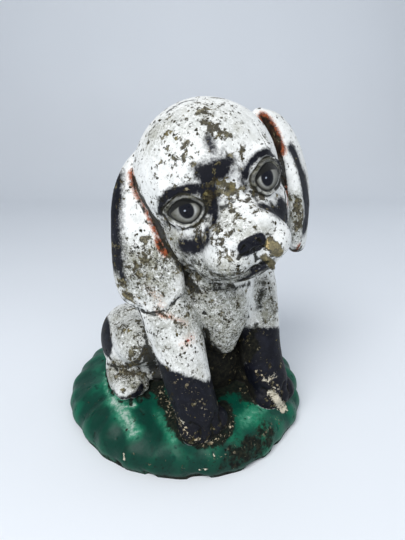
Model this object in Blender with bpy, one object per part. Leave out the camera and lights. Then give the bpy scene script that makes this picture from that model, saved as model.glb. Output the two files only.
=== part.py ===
"""A cast-stone garden statue: a sitting puppy with its head cocked, on a low grassy mound.

The dog and its mound are one casting, so they are one solid. The dog faces -Y, +Z is up, and the
underside of the mound lies on Z = 0. Each form is blocked in as a closed mesh, the forms are fused
by a voxel Remesh and softened as a cast is, and then the eyes, nose, mouth, creases and toes are
carved into the fused skin.
"""

import math

import bmesh
import bpy
import numpy as np
from mathutils import Matrix, Vector

# Driving sizes, in metres
MOUND_DIAMETER = 0.245
MOUND_HEIGHT = 0.040
DOG_HEIGHT = 0.262

# The dog's forms are written in millimetres of the dog at its real height, above the mound's top
REAL_DOG_HEIGHT = 262.0
DOG_MM = DOG_HEIGHT / REAL_DOG_HEIGHT
# The dog sits a little to its left on the mound
DOG_ON_MOUND = (0.005, 0.0)

# How finely the forms are fused, how far they are softened and how many triangles are kept
VOXEL = 0.0018
SOFTENING_ROUNDS = 5
FACE_SOFTENING_ROUNDS = 14
TRIANGLES = 9400

# Stone below the underside, which the flat cut takes away
UNDERCUT = 0.008

# Where the head sits on the dog, in dog millimetres, and how it is turned and cocked
HEAD_AT = (-13.0, -56.0, 194.0)
HEAD_TURN = math.radians(21.0)
HEAD_LEAN = math.radians(22.0)

# Colours of the paint
WHITE_PAINT = (0.62, 0.61, 0.56, 1.0)
GREEN_PAINT = (0.012, 0.13, 0.06, 1.0)


def clear_scene():
    for thing in list(bpy.data.objects):
        bpy.data.objects.remove(thing)


def dog_frame():
    """Dog millimetres to metres, with the dog's zero height on the top of the mound."""
    place = Matrix.Translation((DOG_ON_MOUND[0], DOG_ON_MOUND[1], MOUND_HEIGHT))
    return place @ Matrix.Scale(DOG_MM, 4)


def head_frame():
    """Head millimetres to metres: X to the dog's left, -Y along the muzzle, Z through the crown."""
    turned = Matrix.Rotation(-HEAD_TURN, 4, "Z")
    leaned = Matrix.Rotation(-HEAD_LEAN, 4, "Y")
    return dog_frame() @ Matrix.Translation(HEAD_AT) @ turned @ leaned


def mapped(points, matrix):
    """Rows of points carried through a matrix."""
    rows = np.array(matrix)
    return points @ rows[:3, :3].T + rows[:3, 3]


def turned(directions, matrix):
    """Rows of directions carried through a matrix, at unit length."""
    out = directions @ np.array(matrix)[:3, :3].T
    return out / np.linalg.norm(out, axis=1)[:, None]


def spline(values, count):
    """Catmull-Rom samples through the rows of values."""
    rows = np.asarray(values, float)
    padded = np.vstack([2 * rows[0] - rows[1], rows, 2 * rows[-1] - rows[-2]])
    samples = []
    for step in np.linspace(0, len(rows) - 1, count):
        i = min(int(step), len(rows) - 2)
        t = step - i
        a, b, c, d = padded[i : i + 4]
        bend = (2 * a - 5 * b + 4 * c - d) * t**2 + (3 * b - a - 3 * c + d) * t**3
        samples.append(0.5 * (2 * b + (c - a) * t + bend))
    return np.array(samples)


def skin(clay, loops):
    """Closes a stack of equal loops of points into one body, wound to face outward."""
    rings = [[clay.verts.new(Vector(point)) for point in loop] for loop in loops]
    sides = len(rings[0])
    for lower, upper in zip(rings, rings[1:]):
        for k in range(sides):
            n = (k + 1) % sides
            clay.faces.new((lower[k], lower[n], upper[n], upper[k]))
    clay.faces.new(rings[0][::-1])
    clay.faces.new(rings[-1])


def ellipsoid(clay, frame, centre, radii, turn=(0.0, 0.0, 0.0)):
    """Adds an ellipsoid; turn is its rotation about X, Y and Z in degrees."""
    place = Matrix.Translation(centre)
    for angle, axis in zip(turn, "XYZ"):
        place = place @ Matrix.Rotation(math.radians(angle), 4, axis)
    place = frame @ place @ Matrix.Diagonal((*radii, 1.0))
    bmesh.ops.create_icosphere(clay, subdivisions=4, radius=1.0, matrix=place)


def limb_axes(stations, across, rings):
    """Rows along a limb with its tangent, its side direction and its front direction."""
    rows = spline(stations, rings)
    tangents = np.gradient(rows[:, :3], axis=0)
    tangents /= np.linalg.norm(tangents, axis=1)[:, None]
    sides = np.array(across, float) - tangents * (tangents @ np.array(across, float))[:, None]
    sides /= np.linalg.norm(sides, axis=1)[:, None]
    return rows, tangents, sides, np.cross(tangents, sides)


def loft(clay, frame, stations, across=(1.0, 0.0, 0.0), rings=20, segments=28, square=1.0, dome=1.0):
    """Adds a limb through stations of (x, y, z, half width, half depth), with domed ends.

    The width runs along across, and the depth is square to it and to the limb. A square value
    below 1 makes the section boxier, and dome is how far the ends stand out for their thickness.
    """
    rows, tangents, sides, fronts = limb_axes(stations, across, rings)
    angles = np.linspace(0, 2 * math.pi, segments, endpoint=False)
    c = np.copysign(np.abs(np.cos(angles)) ** square, np.cos(angles))
    s = np.copysign(np.abs(np.sin(angles)) ** square, np.sin(angles))

    def section(i, along, share):
        centre = rows[i, :3] + tangents[i] * along
        ring = np.outer(c * rows[i, 3], sides[i]) + np.outer(s * rows[i, 4], fronts[i])
        return centre + ring * max(share, 0.02)

    cap = np.linspace(0, math.pi / 2, 6)[1:]
    loops = []
    for angle in cap[::-1]:
        loops.append(section(0, -math.sin(angle) * min(rows[0, 3:]) * dome, math.cos(angle)))
    for i in range(rings):
        loops.append(section(i, 0.0, 1.0))
    for angle in cap:
        loops.append(section(-1, math.sin(angle) * min(rows[-1, 3:]) * dome, math.cos(angle)))
    skin(clay, [mapped(loop, frame) for loop in loops])


def mound_swell(angle, height):
    """How far the mound's side bulges at an angle, as a share; height runs from 0 to 1."""
    lobes = 0.010 * np.sin(3 * angle + 0.6) + 0.008 * np.sin(7 * angle + 1.1)
    folds = 0.016 * tussocks(angle) + 0.009 * np.sin(29 * angle + 0.7)
    return 1 + lobes + folds * np.clip(0.35 + 1.3 * height, 0, 1) * np.clip(2.4 - 2.2 * height, 0, 1)


def tussocks(angle):
    """The ridges of turf that run out from the middle, from -1 to 1; some are broad and some narrow."""
    broad = np.sin(11 * angle + 0.6 + 1.3 * np.sin(2 * angle + 1.0))
    narrow = np.sin(20 * angle + 2.0 * np.sin(3 * angle + 2.2))
    return (0.6 * broad + 0.5 * narrow) * (0.8 + 0.2 * np.sin(5 * angle))


def mound(clay):
    """A tuft of ground: steep folded sides and a top that falls gently to them."""
    profile = (
        (0.985, 0.00),
        (0.995, 0.12),
        (1.00, 0.26),
        (0.965, 0.52),
        (0.87, 0.73),
        (0.72, 0.88),
        (0.50, 0.98),
        (0.20, 1.02),
    )
    angles = np.linspace(0, 2 * math.pi, 240, endpoint=False)
    directions = np.stack([np.cos(angles), np.sin(angles)], axis=1)
    loops = []
    for share, height in [(0.98, -UNDERCUT / MOUND_HEIGHT), *spline(profile, 36)]:
        radius = MOUND_DIAMETER / 2 * share * mound_swell(angles, height)
        ridge = 0.09 * tussocks(angles) * math.exp(-(((share - 0.84) / 0.14) ** 2)) * max(height, 0)
        level = MOUND_HEIGHT * (height + ridge)
        loops.append(np.column_stack([directions * radius[:, None], level]))
    loops = np.array(loops)
    # Its widest reach to each side is centred on the origin
    loops[:, :, :2] -= (loops.min(axis=(0, 1)) + loops.max(axis=(0, 1)))[:2] / 2
    skin(clay, loops)


def body(clay):
    dog = dog_frame()
    spine = (
        (0, 62, 0, 46, 34),
        (0, 50, 28, 52, 46),
        (0, 26, 62, 49, 47),
        (0, -4, 96, 45, 45),
        (-2, -24, 130, 42, 43),
        (-6, -36, 166, 38, 40),
    )
    loft(clay, dog, spine)
    # The chest, and the bib that narrows to a point between the forelegs
    ellipsoid(clay, dog, (-2, -38, 100), (40, 40, 46), (8, 0, 0))
    bib = ((-5, -44, 136, 35, 32), (-4, -49, 110, 35, 32), (-3, -56, 82, 26, 27), (-4, -60, 50, 13, 14))
    loft(clay, dog, bib, dome=0.7)
    # Stone left between the legs, and the webs that join each foreleg to the belly behind it
    ellipsoid(clay, dog, (-2, -26, 18), (44, 38, 50))
    for side in (-1, 1):
        web = (
            (side * 26, -40, 0, 15, 30),
            (side * 26, -34, 26, 15, 30),
            (side * 26, -26, 60, 16, 28),
            (side * 26, -24, 96, 14, 24),
        )
        loft(clay, dog, web, rings=20)


def foreleg(clay, shoulder, wrist, toes):
    """A foreleg, by how far to the dog's left its shoulder, its wrist and its toes stand."""
    dog = dog_frame()
    arm = (
        (shoulder, -26, 126, 25, 28),
        (0.7 * shoulder + 0.3 * wrist, -44, 92, 25, 26),
        (0.3 * shoulder + 0.7 * wrist, -60, 62, 22.5, 22),
        (wrist, -73, 34, 20.5, 20),
        (0.5 * wrist + 0.5 * toes, -84, 8, 19.5, 18.5),
    )
    loft(clay, dog, arm)
    paw = ((toes, -74, 2, 20, 15), (toes, -88, -2, 24, 14.5), (toes, -94, -6, 23, 12))
    loft(clay, dog, paw, rings=12, dome=0.75)


def haunch(clay, side):
    dog = dog_frame()
    ellipsoid(clay, dog, (side * 54, 27, 25), (34, 46, 39), (10, 0, 0))
    # The knee, and the long hind foot that lies under it
    ellipsoid(clay, dog, (side * 60, 0, 42), (26, 31, 22), (8, side * 8, 0))
    foot = ((side * 66, 30, 3, 20, 19), (side * 75, 8, 3, 18, 18), (side * 77, -13, 0.5, 17, 16))
    loft(clay, dog, foot, rings=14)
    # Stone left under the knee
    ellipsoid(clay, dog, (side * 44, 4, 10), (28, 28, 14))


def tail(clay):
    curl = ((0, 84, 6, 16, 15), (24, 98, 3, 14, 12), (50, 94, 1, 11, 10), (70, 76, 1, 7, 7))
    loft(clay, dog_frame(), curl, rings=16)
    # Stone left between the tail and the rump
    ellipsoid(clay, dog_frame(), (44, 80, 0), (26, 18, 12))


def head(clay):
    frame = head_frame()
    ellipsoid(clay, frame, (0, 6, 12), (57.5, 58, 57))
    muzzle = ((0, -14, -18, 40, 34), (0, -40, -24, 31, 26), (0, -58, -28, 27, 21))
    loft(clay, frame, muzzle, rings=14, square=0.8, dome=0.65)
    # The lower jaw, the nose leather and the neck behind
    ellipsoid(clay, frame, (-2, -32, -45), (38, 34, 20))
    nose = ((-2, -56, -22, 12, 8), (-2, -72.5, -24.5, 11.5, 7.2))
    loft(clay, frame, nose, rings=6, square=0.45, dome=0.35)
    for side in (-1, 1):
        cheek = (side * 22 - 1, -8, -24)
        ellipsoid(clay, frame, cheek, (30, 38, 34))
        flew = (side * 15, -51, -36)
        ellipsoid(clay, frame, flew, (18, 22, 16))
        brow = (side * 25, -33, 22)
        ellipsoid(clay, frame, brow, (20, 12, 9), (0, side * 8, 0))


def ear(clay, stations, across, front_side):
    """A hanging ear with a rolled front edge; front_side says which way its front edge lies."""
    dog = dog_frame()
    loft(clay, dog, stations, across=across, rings=24, dome=1.0)
    rows, _, sides, fronts = limb_axes(stations, across, 24)
    edge = rows[:, :3] + fronts * rows[:, 4:5] * 0.86 * front_side + sides * rows[:, 3:4] * 0.15
    roll = np.column_stack([edge, rows[:, 3] * 0.62, rows[:, 3] * 0.62])
    loft(clay, dog, roll[1:-1], across=across, rings=24, segments=16)


def ears(clay):
    right = (
        (-46, -26, 224, 9, 11),
        (-61, -22, 204, 11, 15),
        (-68, -24, 186, 12, 18),
        (-71, -30, 164, 12.5, 21),
        (-70, -37, 140, 12.5, 27),
        (-67, -42, 119, 11.5, 30),
        (-65, -45, 106, 10, 26),
        (-64, -46, 98, 8, 17),
    )
    ear(clay, right, (-0.75, -0.65, 0.0), -1)
    left = (
        (32, -54, 244, 8, 12),
        (51, -58, 233, 10, 18),
        (64, -62, 213, 10.5, 23),
        (71, -66, 186, 10.5, 26),
        (71, -70, 158, 9.5, 26),
        (69, -73, 138, 8, 19),
    )
    ear(clay, left, (0.6, -0.8, 0.0), 1)
    # Stone left behind the ears, where the mould could not reach between ear and neck
    ellipsoid(clay, dog_frame(), (-52, -30, 160), (20, 22, 48))
    ellipsoid(clay, dog_frame(), (50, -52, 184), (17, 19, 50))
    ellipsoid(clay, dog_frame(), (44, -50, 160), (16, 16, 28))


def fused(clay, name):
    """The blocked-in forms as one object, with the modifiers that fuse and soften them."""
    mesh = bpy.data.meshes.new(name)
    clay.to_mesh(mesh)
    clay.free()
    made = bpy.data.objects.new(name, mesh)
    bpy.context.scene.collection.objects.link(made)
    fuse = made.modifiers.new("fuse", "REMESH")
    fuse.mode = "VOXEL"
    fuse.voxel_size = VOXEL
    soften = made.modifiers.new("soften", "SMOOTH")
    soften.factor = 0.5
    soften.iterations = SOFTENING_ROUNDS
    return made


def settle(thing):
    """Gives an object the mesh that its modifiers make, and drops the modifiers."""
    graph = bpy.context.evaluated_depsgraph_get()
    mesh = bpy.data.meshes.new_from_object(thing.evaluated_get(graph))
    thing.modifiers.clear()
    thing.data = mesh
    return mesh


def positions(mesh):
    flat = np.empty(len(mesh.vertices) * 3)
    mesh.vertices.foreach_get("co", flat)
    return flat.reshape(-1, 3)


def normals(mesh):
    flat = np.empty(len(mesh.vertices) * 3)
    mesh.vertices.foreach_get("normal", flat)
    return flat.reshape(-1, 3)


def relax(points, mesh, share, rounds):
    """Moves each point towards the middle of its neighbours, by share (0 to 1) for each point."""
    ends = np.empty(len(mesh.edges) * 2, dtype=np.int64)
    mesh.edges.foreach_get("vertices", ends)
    starts, stops = ends[0::2], ends[1::2]
    count = np.bincount(ends, minlength=len(points))[:, None]
    for _ in range(rounds):
        total = np.empty_like(points)
        for axis in range(3):
            total[:, axis] = np.bincount(starts, points[stops, axis], len(points))
            total[:, axis] += np.bincount(stops, points[starts, axis], len(points))
        points = points + (total / count - points) * share[:, None]
    return points


def ramp(low, high, value):
    """0 below low and 1 above high, with a smooth rise between; low may be above high."""
    t = np.clip((value - low) / (high - low), 0, 1)
    return t * t * (3 - 2 * t)


def stroke(points, outward, path, width, depth):
    """Pushes the skin in along a path laid on it; a negative depth raises a ridge."""
    marks = []
    for mark in spline(path, 48):
        marks.append(points[np.argmin(((points - mark) ** 2).sum(axis=1))])
    marks = np.array(marks)
    low = marks.min(axis=0) - 3 * width
    high = marks.max(axis=0) + 3 * width
    near = np.flatnonzero(((points > low) & (points < high)).all(axis=1))
    reach = np.sqrt(((points[near, None, :] - marks[None]) ** 2).sum(axis=2)).min(axis=1)
    points[near] -= outward[near] * (depth * np.exp(-((reach / width) ** 2)))[:, None]


def press(points, outward, centre, radii, depth):
    """Presses a soft hollow of the given radii into the skin; a negative depth swells it."""
    away = ((points - centre) / radii) ** 2
    points -= outward * (depth * np.exp(-away.sum(axis=1)))[:, None]


def carve_eye(points, out, level, half_width, half_height, tilt):
    """A ball in an almond opening with raised lids; out is how far it is to the dog's left."""
    ball, thinnest_lid, thickest_lid = 23.0, 0.8, 2.6
    middle = np.array([0.72 * out, -23.5, level + 1])
    across = points[:, 0] - out
    up = points[:, 2] - level
    c, s = math.cos(tilt), math.sin(tilt)
    along, above = across * c + up * s, up * c - across * s
    # The opening narrows to its two corners
    narrowing = 1 - 0.3 * np.clip(np.abs(along) / half_width, 0, 1) ** 2
    share = np.sqrt((along / half_width) ** 2 + (above / (half_height * narrowing)) ** 2)
    front = ramp(-14, -24, points[:, 1])
    spoke = points - middle
    reach = np.linalg.norm(spoke, axis=1)
    lidded = np.clip(reach, ball + thinnest_lid, ball + thickest_lid)
    wanted = reach + (lidded - reach) * ramp(1.9, 1.15, share)
    upper = ramp(-0.3, 0.5, above / half_height)
    wanted += np.exp(-(((share - 1.14) / 0.13) ** 2)) * (0.9 + 0.9 * upper)
    wanted -= np.exp(-(((share - 1.46) / 0.13) ** 2)) * (0.5 + 0.5 * upper)
    wanted += (ball - wanted) * ramp(1.05, 0.93, share)
    wanted = reach + (wanted - reach) * front
    points += spoke * (wanted / reach - 1)[:, None]


def carve_head(points, outward):
    """Carves the face, in head millimetres."""
    for side in (-1, 1):
        press(points, outward, (side * 20, -48, -6), (9, 14, 9), 3.0)
        press(points, outward, (side * 31, -42, -17), (12, 14, 6), 1.6)
    press(points, outward, (0, -52, 8), (9, 14, 11), 3.0)
    press(points, outward, (0, -52, 46), (5, 20, 16), 1.2)
    carve_eye(points, -30.5, 4.3, 11.8, 9.4, math.radians(-7))
    carve_eye(points, 33.5, 2.2, 11.5, 9.8, math.radians(-18))
    # The mouth under the flews, the cleft below the nose, the nostrils and the top edge of the nose
    mouth = ((-30, -42, -49), (-16, -62, -52), (-5, -69, -49), (6, -69, -49), (18, -60, -51), (30, -40, -48))
    stroke(points, outward, mouth, 2.3, 4.0)
    stroke(points, outward, ((0, -80, -33), (0, -77, -39), (0, -72, -46)), 1.7, 1.6)
    for x in (-8, 5):
        stroke(points, outward, ((x, -78, -24), (x + 0.4 * x, -77, -26)), 1.8, 1.6)
    stroke(points, outward, ((-12, -72, -32), (-2, -76, -33), (8, -72, -32)), 2.0, 1.4)


def carve_toes(points, outward, x, heel, tip, level, spread, depth):
    """Three grooves that part a paw into four toes."""
    for toe in (-1, 0, 1):
        start = (x + toe * spread * 0.8, heel, level + 11)
        over = (x + toe * spread, (heel + tip) / 2 - 4, level + 7)
        end = (x + toe * spread * 1.08, tip, level - 6)
        stroke(points, outward, (start, over, end), 2.6, depth)


# The grooves along the ears, in dog millimetres: beside the face, and under the lobe of the right ear
EAR_GROOVES = (
    ((-66, -36, 204), (-69, -46, 193), (-66, -51, 180), (-61, -54, 167), (-59, -59, 157), (-53, -64, 146)),
    ((-40, -57, 126), (-45, -62, 117), (-54, -66, 110), (-63, -64, 102), (-72, -58, 97), (-79, -45, 96)),
    ((31, -60, 248), (36, -66, 236), (40, -74, 218), (45, -75, 202), (49, -76, 186), (52, -79, 165), (55, -78, 145)),
)


def carve(statue):
    """Softens the face and carves it, then the toes and the creases, into the fused mesh."""
    mesh = settle(statue)
    points = positions(mesh)
    head_place = head_frame()
    dog_place = dog_frame()
    face = mapped(points, head_place.inverted())
    on_face = ramp(4, -14, face[:, 1]) * ramp(50, 36, np.abs(face[:, 0])) * ramp(58, 40, face[:, 2])
    on_face *= ramp(-74, -60, face[:, 2]) * (1 - 0.9 * ramp(-60, -66, face[:, 1]))
    dog = mapped(points, dog_place.inverted())
    clear_of_ear = np.maximum(ramp(-70, -60, dog[:, 0]), ramp(96, 88, dog[:, 2]))
    on_body = ramp(8, 22, dog[:, 2]) * ramp(140, 122, dog[:, 2]) * clear_of_ear
    points = relax(points, mesh, np.maximum(on_face, on_body) * 0.6, FACE_SOFTENING_ROUNDS)
    mesh.vertices.foreach_set("co", points.ravel())
    mesh.update()
    outward = normals(mesh)

    face = mapped(points, head_place.inverted())
    whole_head = np.flatnonzero((np.abs(face) < (75, 95, 85)).all(axis=1) & (face[:, 1] < 0))
    part = face[whole_head]
    carve_head(part, turned(outward[whole_head], head_place.inverted()))
    points[whole_head] = mapped(part, head_place)

    dog = mapped(points, dog_place.inverted())
    for x in (-43, 37):
        carve_toes(dog, outward, x, -88, -106, -2, 11.5, 2.4)
    for side in (-1, 1):
        carve_toes(dog, outward, side * 77, -14, -30, 2, 8.5, 1.2)
        crease = ((side * 89, 18, 18.5), (side * 88, -6, 19.5), (side * 78, -26, 19.5))
        stroke(dog, outward, crease, 3.0, 2.2)
    for groove in EAR_GROOVES:
        stroke(dog, outward, groove, 2.4, 2.4)
    points = mapped(dog, dog_place)
    mesh.vertices.foreach_set("co", points.ravel())
    mesh.update()


def thin_out(statue):
    """Leaves about TRIANGLES triangles, fewest where the stone is flattest."""
    triangles = sum(len(face.vertices) - 2 for face in statue.data.polygons)
    fewer = statue.modifiers.new("fewer", "DECIMATE")
    fewer.ratio = min(1.0, TRIANGLES / triangles)
    settle(statue)


def cut_flat(statue):
    """Cuts the underside flat at Z = 0."""
    work = bmesh.new()
    work.from_mesh(statue.data)
    everything = work.verts[:] + work.edges[:] + work.faces[:]
    bmesh.ops.bisect_plane(
        work, geom=everything, dist=1e-6, plane_co=(0, 0, 0), plane_no=(0, 0, -1), clear_outer=True
    )
    rim = [edge for edge in work.edges if edge.is_boundary]
    bmesh.ops.holes_fill(work, edges=rim, sides=0)
    bmesh.ops.triangulate(work, faces=work.faces[:])
    bmesh.ops.dissolve_degenerate(work, dist=2e-5, edges=work.edges[:])
    bmesh.ops.triangulate(work, faces=work.faces[:])
    bmesh.ops.delete(work, geom=[edge for edge in work.edges if edge.is_wire], context="EDGES")
    bmesh.ops.delete(work, geom=[vert for vert in work.verts if not vert.link_edges], context="VERTS")
    bmesh.ops.recalc_face_normals(work, faces=work.faces[:])
    work.to_mesh(statue.data)
    work.free()


def paint(name, colour, roughness):
    made = bpy.data.materials.new(name)
    made.use_nodes = True
    shader = made.node_tree.nodes["Principled BSDF"]
    shader.inputs["Base Color"].default_value = colour
    shader.inputs["Roughness"].default_value = roughness
    shader.inputs["Metallic"].default_value = 0.0
    return made


def colour_statue(statue):
    """White paint on the dog and green on the mound, which is the low and outer stone."""
    mesh = statue.data
    mesh.materials.clear()
    mesh.materials.append(paint("white painted stone", WHITE_PAINT, 0.75))
    mesh.materials.append(paint("green painted stone", GREEN_PAINT, 0.35))
    for face in mesh.polygons:
        middle = face.center
        reach = math.hypot(middle.x, middle.y) / (MOUND_DIAMETER / 2)
        surface = MOUND_HEIGHT * (1.06 - 0.5 * max(reach - 0.3, 0) ** 2)
        face.material_index = 1 if middle.z < surface else 0
    mesh.shade_smooth()


def main():
    clear_scene()
    clay = bmesh.new()
    mound(clay)
    body(clay)
    foreleg(clay, -51, -49, -43)
    foreleg(clay, 44, 33, 37)
    for side in (-1, 1):
        haunch(clay, side)
    tail(clay)
    head(clay)
    ears(clay)
    statue = fused(clay, "dog_statue")
    carve(statue)
    thin_out(statue)
    cut_flat(statue)
    colour_statue(statue)


main()
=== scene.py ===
"""The garden statue's looks: a finely carved skin, weathered paint, lichen, soil, painted shade and
highlights.

The dog and its mound are one casting, so one mesh stands for the one solid. It is blocked in from
the forms of that solid at a finer grain, then carved, roughened and painted. The marks of paint are
given as pixels of the 405 x 540 photograph, and a line of sight through each pixel finds the stone
that carries the mark.
"""

import itertools
import math

import bmesh
import bpy
import numpy as np
from mathutils import Matrix, Vector
from mathutils.bvhtree import BVHTree
from mathutils.kdtree import KDTree


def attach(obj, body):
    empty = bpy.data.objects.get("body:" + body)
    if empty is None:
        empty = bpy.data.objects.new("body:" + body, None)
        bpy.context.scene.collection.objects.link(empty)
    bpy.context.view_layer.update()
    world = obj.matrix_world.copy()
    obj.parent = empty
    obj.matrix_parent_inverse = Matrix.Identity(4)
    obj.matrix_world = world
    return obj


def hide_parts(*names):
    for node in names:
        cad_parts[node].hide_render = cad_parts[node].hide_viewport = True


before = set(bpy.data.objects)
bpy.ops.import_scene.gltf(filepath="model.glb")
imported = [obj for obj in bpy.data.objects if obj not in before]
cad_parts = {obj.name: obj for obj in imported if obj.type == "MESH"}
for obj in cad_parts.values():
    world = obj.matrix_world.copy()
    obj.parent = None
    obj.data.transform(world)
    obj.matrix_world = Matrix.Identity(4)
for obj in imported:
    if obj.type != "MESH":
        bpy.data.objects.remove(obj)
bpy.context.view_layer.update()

# Driving sizes, in metres; the dog's forms are written in millimetres above the mound's top
MOUND_DIAMETER = 0.245
MOUND_HEIGHT = 0.040
DOG_HEIGHT = 0.262
REAL_DOG_HEIGHT = 262.0
DOG_MM = DOG_HEIGHT / REAL_DOG_HEIGHT
DOG_ON_MOUND = (0.005, 0.0)
UNDERCUT = 0.008

# Where the head sits on the dog, in dog millimetres, and how it is turned and cocked
HEAD_AT = (-13.0, -56.0, 194.0)
HEAD_TURN = math.radians(21.0)
HEAD_LEAN = math.radians(22.0)

# How finely the skin is made, how far its forms are softened and how many triangles are kept
VOXEL = 0.0011
SOFTENING_ROUNDS = 12
FACE_SOFTENING_ROUNDS = 30
TRIANGLES = 192000

# The camera, as fitted to the photograph
PHOTO_SIZE = (405, 540)
CAMERA_AT = (-0.1924, -0.3246, 0.291)
CAMERA_TURN = math.radians(-33.0)
CAMERA_DIP = math.radians(21.3)
CAMERA_LENS = 27.0
CAMERA_SENSOR = 36.0

# Strokes of paint as (half width in mm, soft edge in mm, strength, pixels of the photograph)
NAVY_STROKES = {
    "right brow": (4.2, 2.4, 1.0, ((168, 195), (178, 192), (190, 189), (204, 189))),
    "right brow end": (3.0, 2.0, 1.0, ((161, 213), (161, 204), (165, 198))),
    "right eye corner": (1.7, 1.1, 0.95, ((164, 215), (168, 221), (174, 226))),
    "below right eye": (0.7, 0.6, 0.8, ((178, 230), (186, 229), (193, 224), (199, 219))),
    "stop bar left": (6.4, 5.0, 1.0, ((201, 172), (208, 171), (215, 168))),
    "stop bar right": (5.6, 5.0, 1.0, ((215, 168), (222, 165), (228, 162))),
    "stop stem": (5.6, 4.0, 1.0, ((208, 180), (211, 190), (212, 199))),
    "stop stem end": (3.8, 3.4, 1.0, ((213, 202), (215, 212), (214, 222))),
    "inner corner": (4.4, 3.0, 1.0, ((204, 193), (208, 201), (210, 210))),
    "left brow": (2.8, 1.8, 1.0, ((246, 176), (247, 168), (252, 161), (259, 155), (266, 152))),
    "left brow end": (1.5, 1.0, 1.0, ((273, 155), (279, 163), (281, 173), (279, 184), (275, 189))),
    "left inner corner": (3.0, 3.6, 0.85, ((243, 169), (243, 180), (246, 188))),
    "below left eye": (7.0, 4.6, 1.0, ((266, 207), (272, 210), (279, 214), (284, 219))),
    "left cheek": (6.5, 4.4, 1.0, ((282, 204), (285, 212), (286, 222))),
    "cheek": (6.6, 4.6, 1.0, ((184, 246), (192, 247), (200, 243))),
    "tear": (3.6, 3.6, 0.95, ((207, 230), (208, 239), (203, 246))),
    "forehead": (3.4, 3.4, 0.9, ((208, 137), (210, 143), (213, 149))),
    "high brow": (2.4, 4.4, 0.50, ((204, 160), (213, 155), (222, 151))),
    "mouth": (2.2, 2.0, 1.0, ((240, 281), (248, 277), (257, 272), (265, 267))),
    "lip": (2.4, 2.0, 0.95, ((252, 270), (259, 267), (265, 263))),
    "right ear edge": (8.0, 4.6, 1.0, ((112, 204), (109, 214), (108, 228), (110, 242))),
    "right ear lower edge": (4.2, 4.6, 0.95, ((113, 249), (117, 260), (120, 270), (123, 279))),
    "right ear streak": (2.6, 5.0, 0.62, ((118, 204), (120, 220), (120, 236))),
    "crown edge": (1.2, 1.0, 0.95, ((165, 114), (174, 107), (184, 102), (194, 100))),
    "left ear edge": (6.0, 4.0, 1.0, ((292, 150), (296, 160), (301, 174))),
    "left ear lower edge": (9.0, 5.0, 1.0, ((303, 180), (305, 190), (307, 204), (307, 218), (305, 226))),
    "hind toe left": (3.8, 2.0, 1.0, ((114, 393), (118, 399), (127, 400))),
    "hind toe right": (3.8, 2.0, 1.0, ((130, 398), (137, 394), (142, 387))),
    "below the hind toes": (1.2, 0.8, 1.0, ((112, 398), (122, 401), (134, 400), (142, 395))),
    "left brow top": (2.4, 1.6, 1.0, ((264, 152), (270, 153), (275, 158))),
    "stop middle": (5.6, 4.0, 1.0, ((206, 178), (214, 176), (224, 171))),
}
ORANGE_STROKES = {
    "right ear groove": (3.4, 4.0, 0.9, ((131, 173), (134, 185), (138, 195))),
    "right ear lower groove": (2.6, 3.2, 0.9, ((138, 195), (145, 208), (151, 221), (157, 234))),
    "right ear spot": (3.2, 2.4, 1.0, ((158, 241), (161, 248), (167, 254))),
    "left ear groove": (6.2, 3.4, 1.0, ((263, 119), (269, 127), (275, 138), (279, 150))),
    "left ear lower groove": (1.5, 1.4, 0.85, ((285, 180), (287, 193), (288, 206))),
    "left ear tip": (2.4, 1.8, 0.9, ((293, 253), (297, 250), (300, 245))),
    "shoulder halo": (5.0, 6.0, 0.42, ((184, 344), (188, 341), (192, 338))),
    "under right ear": (2.2, 2.4, 0.6, ((157, 312), (163, 316), (170, 317))),
    "lobe": (6.0, 6.0, 0.28, ((148, 290), (157, 297), (160, 305))),
    "below the lobe": (3.0, 4.0, 0.38, ((163, 314), (174, 318), (186, 324))),
}
CRACK_STROKES = {
    "shoulder dot": (1.2, 0.5, 1.0, ((187.5, 341), (188.5, 340.5))),
    "small shoulder dot": (0.8, 0.5, 1.0, ((191.3, 336.3), (191.8, 336))),
    "lobe long": (0.45, 0.5, 1.0, ((154, 290), (155, 297), (159, 303), (163, 307))),
    "lobe branch": (0.25, 0.4, 1.0, ((155, 297), (150, 301), (147, 307))),
    "leg": (0.40, 0.5, 1.0, ((157, 346), (165, 349), (176, 350))),
    "chest": (0.45, 0.5, 1.0, ((170, 317), (177, 321), (184, 322), (193, 328))),
    "neck": (0.25, 0.4, 0.9, ((177, 321), (180, 315), (186, 311))),
    "ear dot": (0.4, 0.4, 1.0, ((141, 241), (141.8, 241))),
    "ear dots": (0.35, 0.4, 1.0, ((121, 187), (122, 188))),
    "ear fleck": (0.4, 0.4, 1.0, ((118, 213), (118.8, 214))),
    "brow flecks": (0.35, 0.4, 0.9, ((150, 167), (151, 169))),
    "crown": (0.3, 0.35, 0.8, ((196, 128), (203, 124), (206, 120), (205, 113))),
}
DARK_CRACKS = {
    "crown across": (0.45, 0.4, 1.0, ((197, 100), (198, 106), (204, 107), (213, 104), (223, 103))),
    "crown across end": (0.4, 0.4, 1.0, ((223, 103), (228, 103), (232, 105))),
    "crown down": (0.35, 0.4, 0.9, ((198, 106), (192, 108), (188, 113))),
    "left of the crown": (0.35, 0.4, 0.9, ((165, 128), (172, 125), (181, 126))),
    "forehead": (0.3, 0.4, 0.9, ((205, 129), (201, 133), (199, 137), (200, 142))),
    "right of the crown": (0.35, 0.4, 0.9, ((236, 105), (244, 112), (251, 119), (256, 126))),
    "edge of the crown": (0.6, 0.5, 1.0, ((252, 118), (257, 127), (262, 137), (268, 147), (274, 152))),
}
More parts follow.
